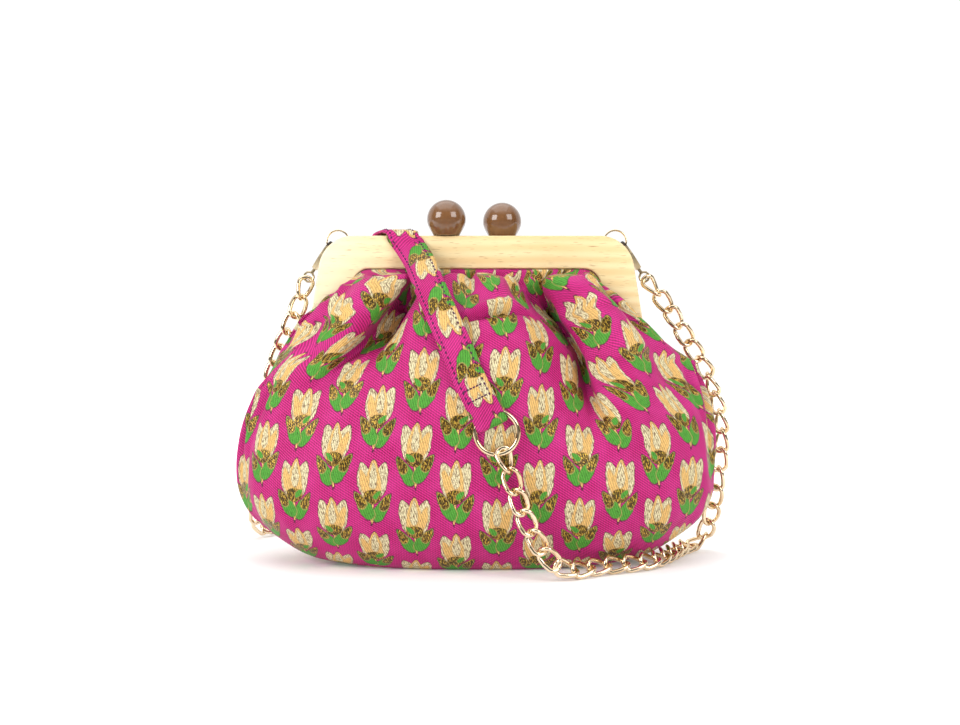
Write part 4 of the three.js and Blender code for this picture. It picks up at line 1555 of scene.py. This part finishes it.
@dataclass
class ClothStrap(SubAssembly):
    """The flat strap, its loops round the rings and its stitching."""

    width: float = 17.5
    thick: float = 1.4
    tail: float = 38.0
    steps: int = 8
    across: int = 12
    edge_drop: float = 0.5
    edge_inset: float = 2.4
    stitch_pitch: float = 3.1
    stitch_length: float = 1.6
    stitch_radius: float = 0.45
    stitch_sides: int = 6
    # Shares of a stitch along its length and of its radius, and its lift off the cloth
    stitch_profile: Sequence[Triple] = (
        (-0.5, 0.2, -0.15),
        (-0.3, 1.0, 0.05),
        (0.3, 1.0, 0.05),
        (0.5, 0.2, -0.15),
    )
    bar_tacks: Sequence[float] = (0.8, 8.0)
    tack_pitch: float = 1.9
    stiffness: int = 4
    lift: float = 1.2
    ray_start: float = 300.0
    cloth_place: Span = (30.0, 150.0)
    loop_rise: float = 1.4
    loop_round: float = 0.6
    loop_sag: float = 0.8
    sections: list[BandSection] = field(default_factory=list)
    run_start: int = 0
    run_end: int = 0

    def build(self, pouch: Piece) -> Piece:
        """Builds the strap as one folded band that lies on the pouch.

        Args:
            pouch: Finished pouch.

        Returns:
            The strap.
        """
        run = self._lay(self._run(Route(STRAP_STOPS)), pouch)
        front = self._loop(RING_FRONT, STRAP_STOPS[0])
        back = self._loop(RING_BACK, STRAP_STOPS[-1])[::-1]
        self.sections = self._through(front, run[0].wide) + run + self._through(back, run[-1].wide)
        self.run_start = len(front)
        self.run_end = len(front) + len(run)
        shares = [2 * step / self.across - 1 for step in range(self.across + 1)]
        points = []
        for section in self.sections:
            points += [section.at(share, self.width, -self.edge_drop * share**6) for share in shares]
        strap = mesh_piece("strap_band", points, grid_faces(len(self.sections), len(shares), False))
        self._map(strap)
        apply_modifier(strap, "SOLIDIFY", thickness=self.thick * MM, offset=0)
        return strap

    def _run(self, route: Route) -> list[BandSection]:
        """Lays sections between the two loops.

        Args:
            route: Route of the strap.

        Returns:
            The sections.
        """
        sections = []
        for step in range(self.steps * route.last + 1):
            row = step / self.steps
            travel = route.travel(row)
            square = travel.cross(route.face(row, travel))
            wide = square.lerp(Vector((1, 0, 0)), route.value("fold", row)).normalized()
            sections.append(BandSection(route.point(row), travel, wide))
        return sections

    def _lay(self, sections: Sequence[BandSection], pouch: Piece) -> list[BandSection]:
        """Lifts the sections off the folds below them, as a stiff band lies on cloth.

        Args:
            sections: Sections on the strap's route.
            pouch: Finished pouch.

        Returns:
            Sections that clear the cloth.
        """
        tree = BVHTree.FromObject(pouch, bpy.context.evaluated_depsgraph_get())
        needs = []
        for section in sections:
            side = math.copysign(1, section.point.y)
            needs.append(0.0)
            for step in range(-2, 3):
                place = section.at(step / 2, self.width)
                start = Vector((place.x, side * self.ray_start, place.z)) * MM
                hit = tree.ray_cast(start, Vector((0, -side, 0)))[0]
                if hit is not None:
                    need = side * (hit.y / MM - place.y) + self.thick / 2 + self.lift
                    needs[-1] = max(needs[-1], need)
        reach = self.stiffness
        windows = [slice(max(number - reach, 0), number + reach + 1) for number in range(len(needs))]
        peaks = [max(needs[window]) for window in windows]
        points = []
        for window, section in zip(windows, sections):
            rise = sum(peaks[window]) / len(peaks[window])
            points.append(section.point + Vector((0, math.copysign(rise, section.point.y), 0)))
        LOG.info("strap lifted by up to %.1f mm", max(peaks))
        laid = self._through(points, Vector((1, 0, 0)))
        return [BandSection(new.point, new.travel, old.wide) for new, old in zip(laid, sections)]

    def _loop(self, ring: Vector, after: Stop) -> list[Vector]:
        """Lays a loop from its sewn tail down behind, through a ring and up in front of it.

        Args:
            ring: Middle of the ring.
            after: Stop where the strap goes on.

        Returns:
            Points of the loop.
        """
        up = Vector((after.x - ring.x, 0, after.z - ring.z))
        slope = (after.y - ring.y) / up.length
        up.normalize()
        out = facing(after.angle)
        clear = RING_WIRE + 2 * GAP + self.thick / 2
        fold = self.thick + GAP
        bottom = math.sqrt(RING_RADIUS**2 - (self.width / 2) ** 2) - clear - GAP
        stations = (
            (self.tail, -fold, 1),
            ((self.tail + RING_RADIUS) / 2, -fold, 1),
            (RING_RADIUS + 2 * clear, -clear, 0),
            (bottom + self.loop_rise, -clear, 0),
            (bottom, -clear * self.loop_round, 0),
            (bottom - self.loop_sag, 0, 0),
            (bottom, clear * self.loop_round, 0),
            (bottom + self.loop_rise, clear, 0),
            (RING_RADIUS + 2 * RING_WIRE, clear, 0),
        )
        points = []
        for reach, depth, lean in stations:
            points.append(ring + up * reach + out * depth + Vector((0, lean * slope * reach, 0)))
        return points

    @staticmethod
    def _through(points: Sequence[Vector], wide: Vector) -> list[BandSection]:
        """Puts a section at each of a row of points.

        Args:
            points: Points along the strap.
            wide: Direction across it.

        Returns:
            The sections.
        """
        befores = [points[0], *points[:-1]]
        afters = [*points[1:], points[-1]]
        rows = zip(points, befores, afters)
        return [BandSection(point, (after - before).normalized(), wide) for point, before, after in rows]

    def _map(self, strap: Piece) -> None:
        """Lays the strap's own millimetres out as its UV map.

        Args:
            strap: Strap without a wall.
        """
        along = lengths_along([section.point for section in self.sections])
        layer = strap.data.uv_layers.new(name=CLOTH_UV)
        first, top = self.cloth_place
        for loop in strap.data.loops:
            number, step = divmod(loop.vertex_index, self.across + 1)
            place = (step / self.across - 0.5) * self.width
            layer.data[loop.index].uv = ((place + first) / UV_UNIT, (top - along[number]) / UV_UNIT)

    def stitches(self) -> Piece:
        """Builds the stitches along both edges and across the sewn-back ends.

        Returns:
            The stitches, joined into one piece.
        """
        run = self.sections[self.run_start:self.run_end]
        inset = 1 - 2 * self.edge_inset / self.width
        top = self.thick / 2
        places = []
        for side in (-inset, inset):
            line = [section.at(side, self.width, top) for section in run]
            places += self._dashes(line, [section.out for section in run], self.stitch_pitch)
        for rows in (run, run[::-1]):
            marks = lengths_along([section.point for section in rows])
            for reach in self.bar_tacks:
                section = rows[bisect_left(marks, reach)]
                line = [section.at(inset * step / 5, self.width, top) for step in range(-5, 6)]
                places += self._dashes(line, [section.out] * len(line), self.tack_pitch)
        points: list[Vector] = []
        faces: list[tuple[int, ...]] = []
        for place in places:
            self._dash(*place, points, faces)
        return mesh_piece("strap_stitches", points, faces)

    def _dashes(
        self, line: Sequence[Vector], outs: Sequence[Vector], pitch: float
    ) -> list[tuple[Vector, ...]]:
        """Places stitches along a line.

        Args:
            line: Points of the line.
            outs: The way that the cloth faces at each point.
            pitch: Distance from stitch to stitch.

        Returns:
            Middle, direction and facing of each stitch.
        """
        marks = lengths_along(line)
        distance = pitch / 2
        places = []
        while distance < marks[-1] - self.stitch_length:
            number = bisect_right(marks, distance) - 1
            step = line[number + 1] - line[number]
            part = (distance - marks[number]) / (marks[number + 1] - marks[number])
            places.append((line[number] + step * part, step.normalized(), outs[number]))
            distance += pitch
        return places

    def _dash(self, middle: Vector, travel: Vector, out: Vector, points: list[Vector], faces: list) -> None:
        """Adds one short rounded stitch.

        Args:
            middle: Middle of the stitch.
            travel: Direction along it.
            out: The way that the cloth faces.
            points: List that takes the new points.
            faces: List that takes the new faces.
        """
        beside = travel.cross(out).normalized()
        start = len(points)
        sides = range(self.stitch_sides)
        for along, size, lift in self.stitch_profile:
            core = middle + travel * (along * self.stitch_length) + out * lift
            for side in sides:
                turn = 2 * math.pi * side / self.stitch_sides
                reach = beside * math.cos(turn) + out * math.sin(turn)
                points.append(core + reach * (size * self.stitch_radius))
        faces += grid_faces(len(self.stitch_profile), self.stitch_sides, True, start)
        last = len(points) - self.stitch_sides
        faces.append(tuple(start + side for side in sides))
        faces.append(tuple(last + side for side in reversed(sides)))


# Chains


CHAIN_RIGHT_STOPS = (
    *facing_stops(Facing.FRONT, (116.9, 12, 154.8), (130.5, 13, 132.6), (142.5, 14, 112.8, 0, 0.9),
                  (149.6, 15, 92.5, 0, 1.15), (152.2, 15, 75.3, 0, 1.0), (151.2, 15, 61.8, 0, 0.9),
                  (149.3, 15, 47.9, 0, 0.7), (147.5, 16, 34.8, 0, 0.3), (146, 22, 19)),
    *facing_stops(Facing.UP, (141, 29, 5)),
    *facing_stops(Facing.LEAN, (128.7, 17, 4.6), (116, -6, 5.0), (103, -26, 5.0), (88.5, -36, 5.0),
                  (74, -42, 5.0), (61, -50, 5.0), (50.5, -58, 5.4)),
    *facing_stops(Facing.FRONT, (42.5, -61, 9), (35, -62, 18), (29.5, -62, 28), (25, -62, 38),
                  (21, -62, 50)),
)
CHAIN_LEFT_STOPS = (
    *facing_stops(Facing.FRONT, (-108.8, 12, 157), (-114, 13, 143.7), (-121.5, 20, 130), (-130, 28, 108),
                  (-138, 38, 85), (-142, 47, 60), (-146, 60, 32), (-148, 70, 11)),
    *facing_stops(Facing.UP, (-144, 82, 3.8), (-130, 103, 3.1), (-106, 114, 3.1), (-79, 112, 3.1),
                  (-64, 95, 3.1), (-75, 76, 4.4)),
    *facing_stops(Facing.BACK, (-85, 65, 12), (-89, 60, 26), (-92, 58, 38)),
)


@dataclass
class CurbChain(SubAssembly):
    """A twisted curb chain from a clasp's swivel eye to a ring."""

    name: str
    hand: Hand
    stops: Sequence[Stop]
    ring: Vector
    ring_face: Facing
    pitch: float = 11.7
    half_width: float = 4.45
    wire: float = 1.35
    bite: float = 0.32
    twist: float = math.pi / 2
    looseness: float = 0.22
    sway: float = 2.4
    loose_above: Span = (8.0, 30.0)
    end_links: float = 1.5
    sides: int = 28
    wire_sides: int = 12

    def build(self) -> Piece:
        """Builds the links along the chain's route.

        Returns:
            The chain, joined into one piece.
        """
        hang = SWIVEL_RADIUS - SWIVEL_WIRE - GAP - self.bite / 2
        start = swivel_middle(self.hand) + clasp_lean(self.hand) * hang
        last = self.stops[-1]
        pull = Vector((last.x - self.ring.x, 0, last.z - self.ring.z)).normalized()
        end = self.ring + pull * (RING_RADIUS - RING_WIRE - 2 * GAP - self.bite / 2)
        route = Route((Stop(*start, self.stops[0].face), *self.stops, Stop(*end, self.ring_face)))
        count = round(route.length / self.pitch)
        pattern = self._link(route.length / count)
        links = [self._place(pattern, route, number, count) for number in range(count)]
        bpy.data.objects.remove(pattern)
        LOG.info("%s: %d links, %.0f mm", self.name, count, route.length)
        return join_pieces(self.name, links)

    def _link(self, pitch: float) -> Piece:
        """Builds one link along X: a wire ring drawn out to an oval and twisted end to end.

        Args:
            pitch: Distance from link to link.

        Returns:
            The link.
        """
        link = new_primitive(
            "link", bpy.ops.mesh.primitive_torus_add, major_radius=self.half_width * MM,
            minor_radius=self.wire * MM, major_segments=self.sides, minor_segments=self.wire_sides,
        )
        bpy.ops.object.mode_set(mode="EDIT")
        half_length = pitch / 2 + self.wire - self.bite / 2
        spread = (half_length - self.half_width) * MM
        for sign in (-1, 1):
            select_where(link, "VERT", lambda vert: vert.co.x * sign > 1e-6)
            bpy.ops.transform.translate(value=(sign * spread, 0, 0))
        bpy.ops.object.mode_set(mode="OBJECT")
        apply_modifier(link, "SIMPLE_DEFORM", deform_method="TWIST", deform_axis="X", angle=self.twist)
        bpy.ops.object.shade_smooth()
        return link

    def _place(self, pattern: Piece, route: Route, number: int, count: int) -> Piece:
        """Copies the link to its place on the route, turned a little as loose links are.

        Args:
            pattern: Link to copy.
            route: Route of the chain.
            number: Number of the link.
            count: Number of links in all.

        Returns:
            The copy.
        """
        pitch = route.length / count
        start, middle, end = (route.row_at((number + part) * pitch) for part in (0, 0.5, 1))
        start = route.point(start)
        end = route.point(end)
        travel = (end - start).normalized()
        face = route.face(middle, travel)
        start_roll = max(0.0, 1 - number / self.end_links)
        end_roll = max(0.0, 1 - (count - 1 - number) / self.end_links)
        loose = self.looseness * math.sin(self.sway * number) * (1 - start_roll) * (1 - end_roll)
        loose *= smooth_step(min(start.z, end.z), *self.loose_above)
        face.rotate(Matrix.Rotation(self.twist / 2 * (end_roll - start_roll) + loose, 3, travel))
        turn = Matrix((travel, travel.cross(face), face)).transposed().to_4x4()
        link = pattern.copy()
        link.data = pattern.data.copy()
        bpy.context.scene.collection.objects.link(link)
        link.data.transform(Matrix.Translation((start + end) / 2 * MM) @ turn)
        return link


# Metal fittings


def clasp_lean(hand: Hand) -> Vector:
    """Gives the way that a clasp hangs."""
    return Vector((hand.value * CLASP_LEAN[0], 0, CLASP_LEAN[1])).normalized()


def swivel_middle(hand: Hand) -> Vector:
    """Gives the middle of a clasp's swivel eye."""
    held = Vector((hand.value * CLASP_HOLD[0], 0, CLASP_HOLD[1])).normalized() * EYE_RADIUS
    return held + Vector((hand.value * EYE_X, EYE_Y, EYE_Z)) + clasp_lean(hand) * SWIVEL_DROP


@dataclass
class WireRing(SubAssembly):
    """A round ring of wire, closed at a butt joint."""

    name: str
    middle: Vector
    radius: float
    wire: float
    joint: float = math.radians(200)
    joint_reach: float = math.pi / 60
    pinch: float = 0.93
    sides: int = 72
    wire_sides: int = 16

    def build(self) -> Piece:
        """Builds the ring in the XZ plane.

        Returns:
            The ring.
        """
        ring = new_primitive(
            self.name, bpy.ops.mesh.primitive_torus_add, major_radius=self.radius * MM,
            minor_radius=self.wire * MM, major_segments=self.sides, minor_segments=self.wire_sides,
            rotation=(math.pi / 2, 0, 0), location=self.middle * MM,
        )
        settle(ring)
        bpy.ops.object.mode_set(mode="EDIT")
        seat = self.middle + Vector((math.cos(self.joint), 0, math.sin(self.joint))) * self.radius
        reach = self.radius * self.joint_reach + self.wire
        select_where(ring, "VERT", lambda vert: (vert.co / MM - seat).length < reach)
        bpy.ops.transform.resize(value=(self.pinch,) * 3, center_override=seat * MM)
        bpy.ops.object.mode_set(mode="OBJECT")
        bpy.ops.object.shade_smooth()
        return ring


@dataclass
class WireEye(SubAssembly):
    """A thin wire eye with the pin that holds it in the back arch."""

    hand: Hand
    wire: float = 0.6
    pin: float = 1.0
    pin_depth: float = 6.0
    pin_edge: float = 0.3
    corner: float = 18.0
    rise: float = 0.6

    def build(self) -> Piece:
        """Builds the eye and its pin.

        Returns:
            The eye, joined into one piece.
        """
        name = f"wire_eye_{self.hand.name.lower()}"
        middle = Vector((self.hand.value * EYE_X, EYE_Y, EYE_Z + self.rise))
        ring = WireRing(name, middle, EYE_RADIUS, self.wire).build()
        corner = Vector((self.hand.value * (FRAME_HALF_TOP - self.corner), EYE_Y, FRAME_TOP - self.corner))
        seat = middle + (corner - middle).normalized() * EYE_RADIUS
        pin = new_primitive(
            "pin", bpy.ops.mesh.primitive_cylinder_add, vertices=20, radius=self.pin * MM,
            depth=self.pin_depth * MM, rotation=(math.pi / 2, 0, 0),
            location=(seat - Vector((0, self.pin_depth / 2, 0))) * MM,
        )
        settle(pin)
        apply_modifier(pin, "BEVEL", width=self.pin_edge * MM, segments=2)
        bpy.ops.object.shade_smooth()
        return join_pieces(name, [ring, pin])


@dataclass
class LobsterClaw(SubAssembly):
    """A lobster claw and its lever: copies of the solids with rounded edges."""

    hand: Hand
    claw_edge: float = 0.55
    lever_edge: float = 0.25
    weld: float = 1e-6
    flat_angle: float = math.radians(2)
    smooth_angle: float = math.radians(40)

    def build(self) -> tuple[Piece, Piece]:
        """Builds both pieces.

        Returns:
            The claw and its lever.
        """
        side = self.hand.name.lower()
        claw = self._rounded(f"clasp_{side}", f"lobster_claw_{side}", self.claw_edge)
        lever = self._rounded(f"clasp_lever_{side}", f"claw_lever_{side}", self.lever_edge)
        return claw, lever

    def _rounded(self, node: str, name: str, width: float) -> Piece:
        """Copies a metal solid with its facets merged and its edges rounded.

        Args:
            node: Solid to copy.
            name: Name of the new piece.
            width: Rounding in millimetres.

        Returns:
            The rounded copy.
        """
        piece = rename(bpy.data.objects.new(name, bpy.data.objects[node].data.copy()), name)
        bpy.context.scene.collection.objects.link(piece)
        make_active(piece)
        bpy.ops.object.mode_set(mode="EDIT")
        bpy.ops.mesh.select_all(action="SELECT")
        bpy.ops.mesh.remove_doubles(threshold=self.weld)
        bpy.ops.mesh.dissolve_limited(angle_limit=self.flat_angle)
        bpy.ops.object.mode_set(mode="OBJECT")
        round_corners(piece, width)
        bpy.ops.object.shade_smooth_by_angle(angle=self.smooth_angle)
        return piece


# Wooden frame and knobs


@dataclass
class PineArch(SubAssembly):
    """One half of the wooden frame."""

    NEAR: ClassVar[float] = 0.1 * MM
    name: str
    side: Side
    corner: float = 17.0
    crotch: float = 8.0
    corner_steps: int = 12
    edge: float = 1.3
    smooth_angle: float = math.radians(35)

    def build(self) -> Piece:
        """Builds the arch from one bar with two legs drawn down from it.

        Returns:
            The arch.
        """
        middle = self.side.value * (FRAME_PARTING + FRAME_DEPTH / 2)
        arch = new_primitive(
            self.name, bpy.ops.mesh.primitive_cube_add, size=1,
            location=(0, middle * MM, (FRAME_TOP - FRAME_BAR / 2) * MM),
            scale=(2 * FRAME_HALF_TOP * MM, FRAME_DEPTH * MM, FRAME_BAR * MM),
        )
        settle(arch)
        bpy.ops.object.mode_set(mode="EDIT")
        opening = arch_opening(FRAME_BAR_BOTTOM)
        for sign in (-1, 1):
            bpy.ops.mesh.select_all(action="SELECT")
            bpy.ops.mesh.bisect(plane_co=(sign * opening * MM, 0, 0), plane_no=(1, 0, 0))

        def above_leg(face: Any) -> bool:
            """Says whether a face is the underside of the bar where a leg goes on."""
            return face.normal.z < -0.9 and abs(face.calc_center_median().x) > opening * MM

        select_where(arch, "FACE", above_leg)
        drop = (0, 0, (FRAME_FOOT - FRAME_BAR_BOTTOM) * MM)
        bpy.ops.mesh.extrude_region_move(TRANSFORM_OT_translate={"value": drop})
        self._splay(arch, opening)
        self._round(arch, FRAME_HALF_TOP, FRAME_TOP, self.corner)
        self._round(arch, opening, FRAME_BAR_BOTTOM, self.crotch)
        bpy.ops.mesh.select_all(action="SELECT")
        bpy.ops.mesh.normals_make_consistent(inside=False)
        bpy.ops.object.mode_set(mode="OBJECT")
        round_corners(arch, self.edge)
        bpy.ops.object.shade_smooth_by_angle(angle=self.smooth_angle)
        return arch

    def _at(self, place: Vector, x: float, z: float) -> bool:
        """Says whether a place of the mesh is at x and z in millimetres."""
        return abs(place.x - x * MM) < self.NEAR and abs(place.z - z * MM) < self.NEAR

    def _splay(self, arch: Piece, opening: float) -> None:
        """Leans the legs outwards.

        Args:
            arch: Arch in edit mode.
            opening: Half the opening under the bar.
        """
        moves = (
            (FRAME_HALF_TOP, FRAME_BAR_BOTTOM, arch_half_width(FRAME_BAR_BOTTOM) - FRAME_HALF_TOP),
            (FRAME_HALF_TOP, FRAME_FOOT, arch_half_width(FRAME_FOOT) - FRAME_HALF_TOP),
            (opening, FRAME_FOOT, arch_opening(FRAME_FOOT) - opening),
        )
        for half, level, shift in moves:
            for sign in (-1, 1):
                select_where(arch, "VERT", lambda vert: self._at(vert.co, sign * half, level))
                bpy.ops.transform.translate(value=(sign * shift * MM, 0, 0))

    def _round(self, arch: Piece, half: float, level: float, radius: float) -> None:
        """Rounds the corners that run through the arch on both sides.

        Args:
            arch: Arch in edit mode.
            half: Distance of the corners from the middle.
            level: Height of the corners.
            radius: Radius of the rounding.
        """

        def at_corner(edge: Any) -> bool:
            """Says whether an edge runs through the arch at a corner.

            Args:
                edge: Edge of the arch.

            Returns:
                Whether it does.
            """
            first, second = (vert.co for vert in edge.verts)
            middle = (first + second) / 2
            through = abs((first - second).y) > FRAME_DEPTH * MM / 2
            return through and self._at(middle, math.copysign(half, middle.x), level)

        select_where(arch, "EDGE", at_corner)
        bpy.ops.mesh.bevel(offset=radius * MM, segments=self.corner_steps, profile=0.5, affect="EDGES")


@dataclass
class ResinKnob(SubAssembly):
    """A turned knob of the kiss lock; heights and widths of its profile are shares of its radius."""

    name: str
    x: float
    y: float
    radius: float = 11.65
    sides: int = 64
    foot: float = 0.62
    neck: float = 0.665
    neck_height: float = 0.03
    middle_height: float = 0.85
    tip: float = 0.02
    lower_steps: int = 10
    upper_steps: int = 18
    smooth_angle: float = math.radians(50)

    def build(self) -> Piece:
        """Builds the knob by drawing a circle up along its profile.

        Returns:
            The knob.
        """
        base = FRAME_TOP + GAP
        knob = new_primitive(
            self.name, bpy.ops.mesh.primitive_circle_add, vertices=self.sides, fill_type="NGON",
            radius=self.foot * self.radius * MM, location=(self.x * MM, self.y * MM, base * MM),
        )
        settle(knob)
        bpy.ops.object.mode_set(mode="EDIT")
        bpy.ops.mesh.select_all(action="SELECT")
        size = self.foot
        height = 0.0
        for wide, high in self._profile():
            rise = (high - height) * self.radius * MM
            bpy.ops.mesh.extrude_region_move(TRANSFORM_OT_translate={"value": (0, 0, rise)})
            middle = (self.x * MM, self.y * MM, (base + high * self.radius) * MM)
            bpy.ops.transform.resize(value=(wide / size, wide / size, 1), center_override=middle)
            size = wide
            height = high
        bpy.ops.mesh.select_all(action="SELECT")
        bpy.ops.mesh.normals_make_consistent(inside=False)
        bpy.ops.object.mode_set(mode="OBJECT")
        bpy.ops.object.shade_smooth_by_angle(angle=self.smooth_angle)
        return knob

    def _profile(self) -> Iterable[tuple[float, float]]:
        """Follows the knob's outline from its foot up.

        Yields:
            Half width and height.
        """
        yield self.neck, self.neck_height
        for step in range(1, self.lower_steps + 1):
            share = step / self.lower_steps
            wide = blend(self.neck, 1.0, math.sin(share * math.pi / 2))
            yield wide, blend(self.neck_height, self.middle_height, share)
        for step in range(1, self.upper_steps):
            turn = step / self.upper_steps * math.pi / 2
            yield math.cos(turn), self.middle_height + math.sin(turn)
        yield self.tip, self.middle_height + 1.0


# Studio


@dataclass(frozen=True)
class Softbox:
    """A square light: the way to it from the bag, its side in metres and its power in watts."""

    name: str
    aim: Triple
    size: float
    power: float


@dataclass
class Studio:
    """Camera, pale floor and soft lights; distances of the floor and the lights are metres."""

    eye: Triple = (2.1, -600.0, 119.0)
    focal_pixels: float = 991.7
    photo_width: int = 960
    sensor_width: float = 36.0
    clip_start: float = 0.01
    floor_half: float = 6.0
    floor_rough: float = 0.8
    floor_specular: float = 0.2
    floor_glow: Span = (0.09, 0.75)
    floor_white: Span = (0.18, 0.92)
    glow_reach: Span = (0.22, 0.8)
    table_edge: Span = (-0.34, -0.16)
    backdrop_edge: Span = (-0.05, 0.25)
    ceiling_edge: Span = (0.55, 0.85)
    backdrop: float = 1.05
    dark_room: float = 0.12
    target: Triple = (0, 0, 0.1)
    box_distance: float = 1.5
    boxes: Sequence[Softbox] = (
        Softbox("softbox_left", (-0.68, -0.58, 0.45), 0.74, 12.5),
        Softbox("softbox_right", (0.63, -0.62, 0.49), 0.74, 9.5),
        Softbox("softbox_top", (-0.1, 0.0, 1.0), 1.5, 7.0),
    )

    def build(self) -> None:
        """Makes the camera, the floor and the lights."""
        scene = bpy.context.scene
        scene.view_settings.view_transform = "Standard"
        self._camera(scene)
        self._floor()
        self._world(scene)
        for box in self.boxes:
            self._light(box)

    def _camera(self, scene: bpy.types.Scene) -> None:
        """Puts the camera level in front of the bag.

        Args:
            scene: Scene that takes the camera.
        """
        lens = bpy.data.cameras.new("camera")
        lens.sensor_width = self.sensor_width
        lens.lens = self.focal_pixels / self.photo_width * self.sensor_width
        lens.clip_start = self.clip_start
        camera = bpy.data.objects.new("camera", lens)
        camera.location = Vector(self.eye) * MM
        camera.rotation_euler = (math.pi / 2, 0, 0)
        scene.collection.objects.link(camera)
        scene.camera = camera

    def _floor(self) -> None:
        """Makes a pale floor that glows far from the bag; metal mirrors it dark in front of the bag."""
        floor = new_primitive("floor", bpy.ops.mesh.primitive_plane_add, size=2 * self.floor_half)
        material, graph, shader = new_material("floor_white")
        place = graph.place()
        mirrored = graph.add("ShaderNodeLightPath")["Is Glossy Ray"]
        in_front = graph.fade(graph.parts(place)[1], *self.table_edge)
        shown = graph.less(1.0, graph.times(mirrored, in_front))
        distance = graph.add("ShaderNodeVectorMath", {0: place}, operation="LENGTH")["Value"]
        near, far = self.floor_glow
        glow = graph.line(graph.step(distance, *self.glow_reach), far - near, near)
        dark, light = self.floor_white
        white = graph.line(shown, light - dark, dark)
        graph.feed(shader, {
            "Base Color": graph.vector(white, white, white),
            "Roughness": self.floor_rough,
            "Specular IOR Level": self.floor_specular,
            "Emission Color": (1, 1, 1, 1),
            "Emission Strength": graph.times(glow, shown),
        })
        floor.data.materials.append(material)

    def _world(self, scene: bpy.types.Scene) -> None:
        """Puts a white backdrop behind the bag and a dim room in front of it.

        Args:
            scene: Scene that takes the world.
        """
        world = bpy.data.worlds.new("studio")
        world.use_nodes = True
        graph = Graph(world.node_tree)
        seen = graph.add("ShaderNodeLightPath")["Is Camera Ray"]
        _, back, up = graph.parts(graph.add("ShaderNodeTexCoord")["Generated"])
        ceiling = graph.step(up, *self.ceiling_edge)
        white = graph.math("MAXIMUM", graph.step(back, *self.backdrop_edge), ceiling)
        light = graph.line(white, self.backdrop - self.dark_room, self.dark_room)
        light = graph.math("MAXIMUM", light, graph.times(seen, self.backdrop))
        graph.feed(world.node_tree.nodes["Background"], {"Color": (1, 1, 1, 1), "Strength": light})
        scene.world = world

    def _light(self, box: Softbox) -> None:
        """Adds a square light that looks at the bag.

        Args:
            box: Light to add.
        """
        lamp = bpy.data.lights.new(box.name, "AREA")
        lamp.shape = "SQUARE"
        lamp.size = box.size
        lamp.energy = box.power
        light = bpy.data.objects.new(box.name, lamp)
        light.location = Vector(box.aim).normalized() * self.box_distance
        view = Vector(self.target) - light.location
        light.rotation_euler = view.to_track_quat("-Z", "Y").to_euler()
        bpy.context.scene.collection.objects.link(light)


def main() -> None:
    """Builds the studio and dresses each piece in order."""
    logging.basicConfig(level=logging.INFO, format="%(name)s: %(message)s")
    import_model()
    Studio().build()

    jacquard = JacquardFinish().make("magenta_jacquard", ClothPatterns.twill(), ClothPatterns.sprig())
    pine = PineFinish().make("pale_pine")
    marks = handling_marks()
    gold = GOLD.make("light_gold", marks)
    brushed = BRUSHED_GOLD.make("brushed_gold", marks)
    resin = RESIN.make("brown_resin", marks)
    thread = ThreadFinish().make("purple_thread")

    pouch_maker = ClothPouch()
    pouch = pouch_maker.build()
    pouch_maker.dress(pouch, jacquard, "cloth", ["bag_body"])

    strap_maker = ClothStrap()
    strap = strap_maker.build(pouch)
    strap_maker.dress(strap, jacquard, "cloth", ["strap"])
    stitches = strap_maker.stitches()
    strap_maker.dress(stitches, thread, "cloth")

    for side in Side:
        name = side.name.lower()
        arch = PineArch(f"pine_arch_{name}", side)
        arch.dress(arch.build(), pine, "pine", [f"frame_{name}"])
    for name, x, y in (("front", KNOB_FRONT_X, -KNOB_Y), ("back", KNOB_BACK_X, KNOB_Y)):
        knob = ResinKnob(f"resin_knob_{name}", x, y)
        knob.dress(knob.build(), resin, "resin", [f"knob_{name}"])

    for hand in Hand:
        name = hand.name.lower()
        eye = WireEye(hand)
        eye.dress(eye.build(), gold, "gold", [f"eye_{name}"])
        claw = LobsterClaw(hand)
        clasp, lever = claw.build()
        claw.dress(clasp, brushed, "gold", [f"clasp_{name}"])
        claw.dress(lever, brushed, "gold", [f"clasp_lever_{name}"])
        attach(lever, f"lever_{name}")
    for name, middle in (("front", RING_FRONT), ("back", RING_BACK)):
        ring = WireRing(f"round_ring_{name}", middle, RING_RADIUS, RING_WIRE + RING_PLATING)
        ring.dress(ring.build(), gold, "gold", [f"ring_{name}"])
    chains = (
        (Hand.RIGHT, CHAIN_RIGHT_STOPS, RING_FRONT, Facing.FRONT),
        (Hand.LEFT, CHAIN_LEFT_STOPS, RING_BACK, Facing.BACK),
    )
    for hand, stops, middle, face in chains:
        node = f"chain_{hand.name.lower()}"
        chain = CurbChain(f"curb_{node}", hand, stops, middle, face)
        chain.dress(chain.build(), gold, "gold", [node])


if __name__ == "__main__":
    main()
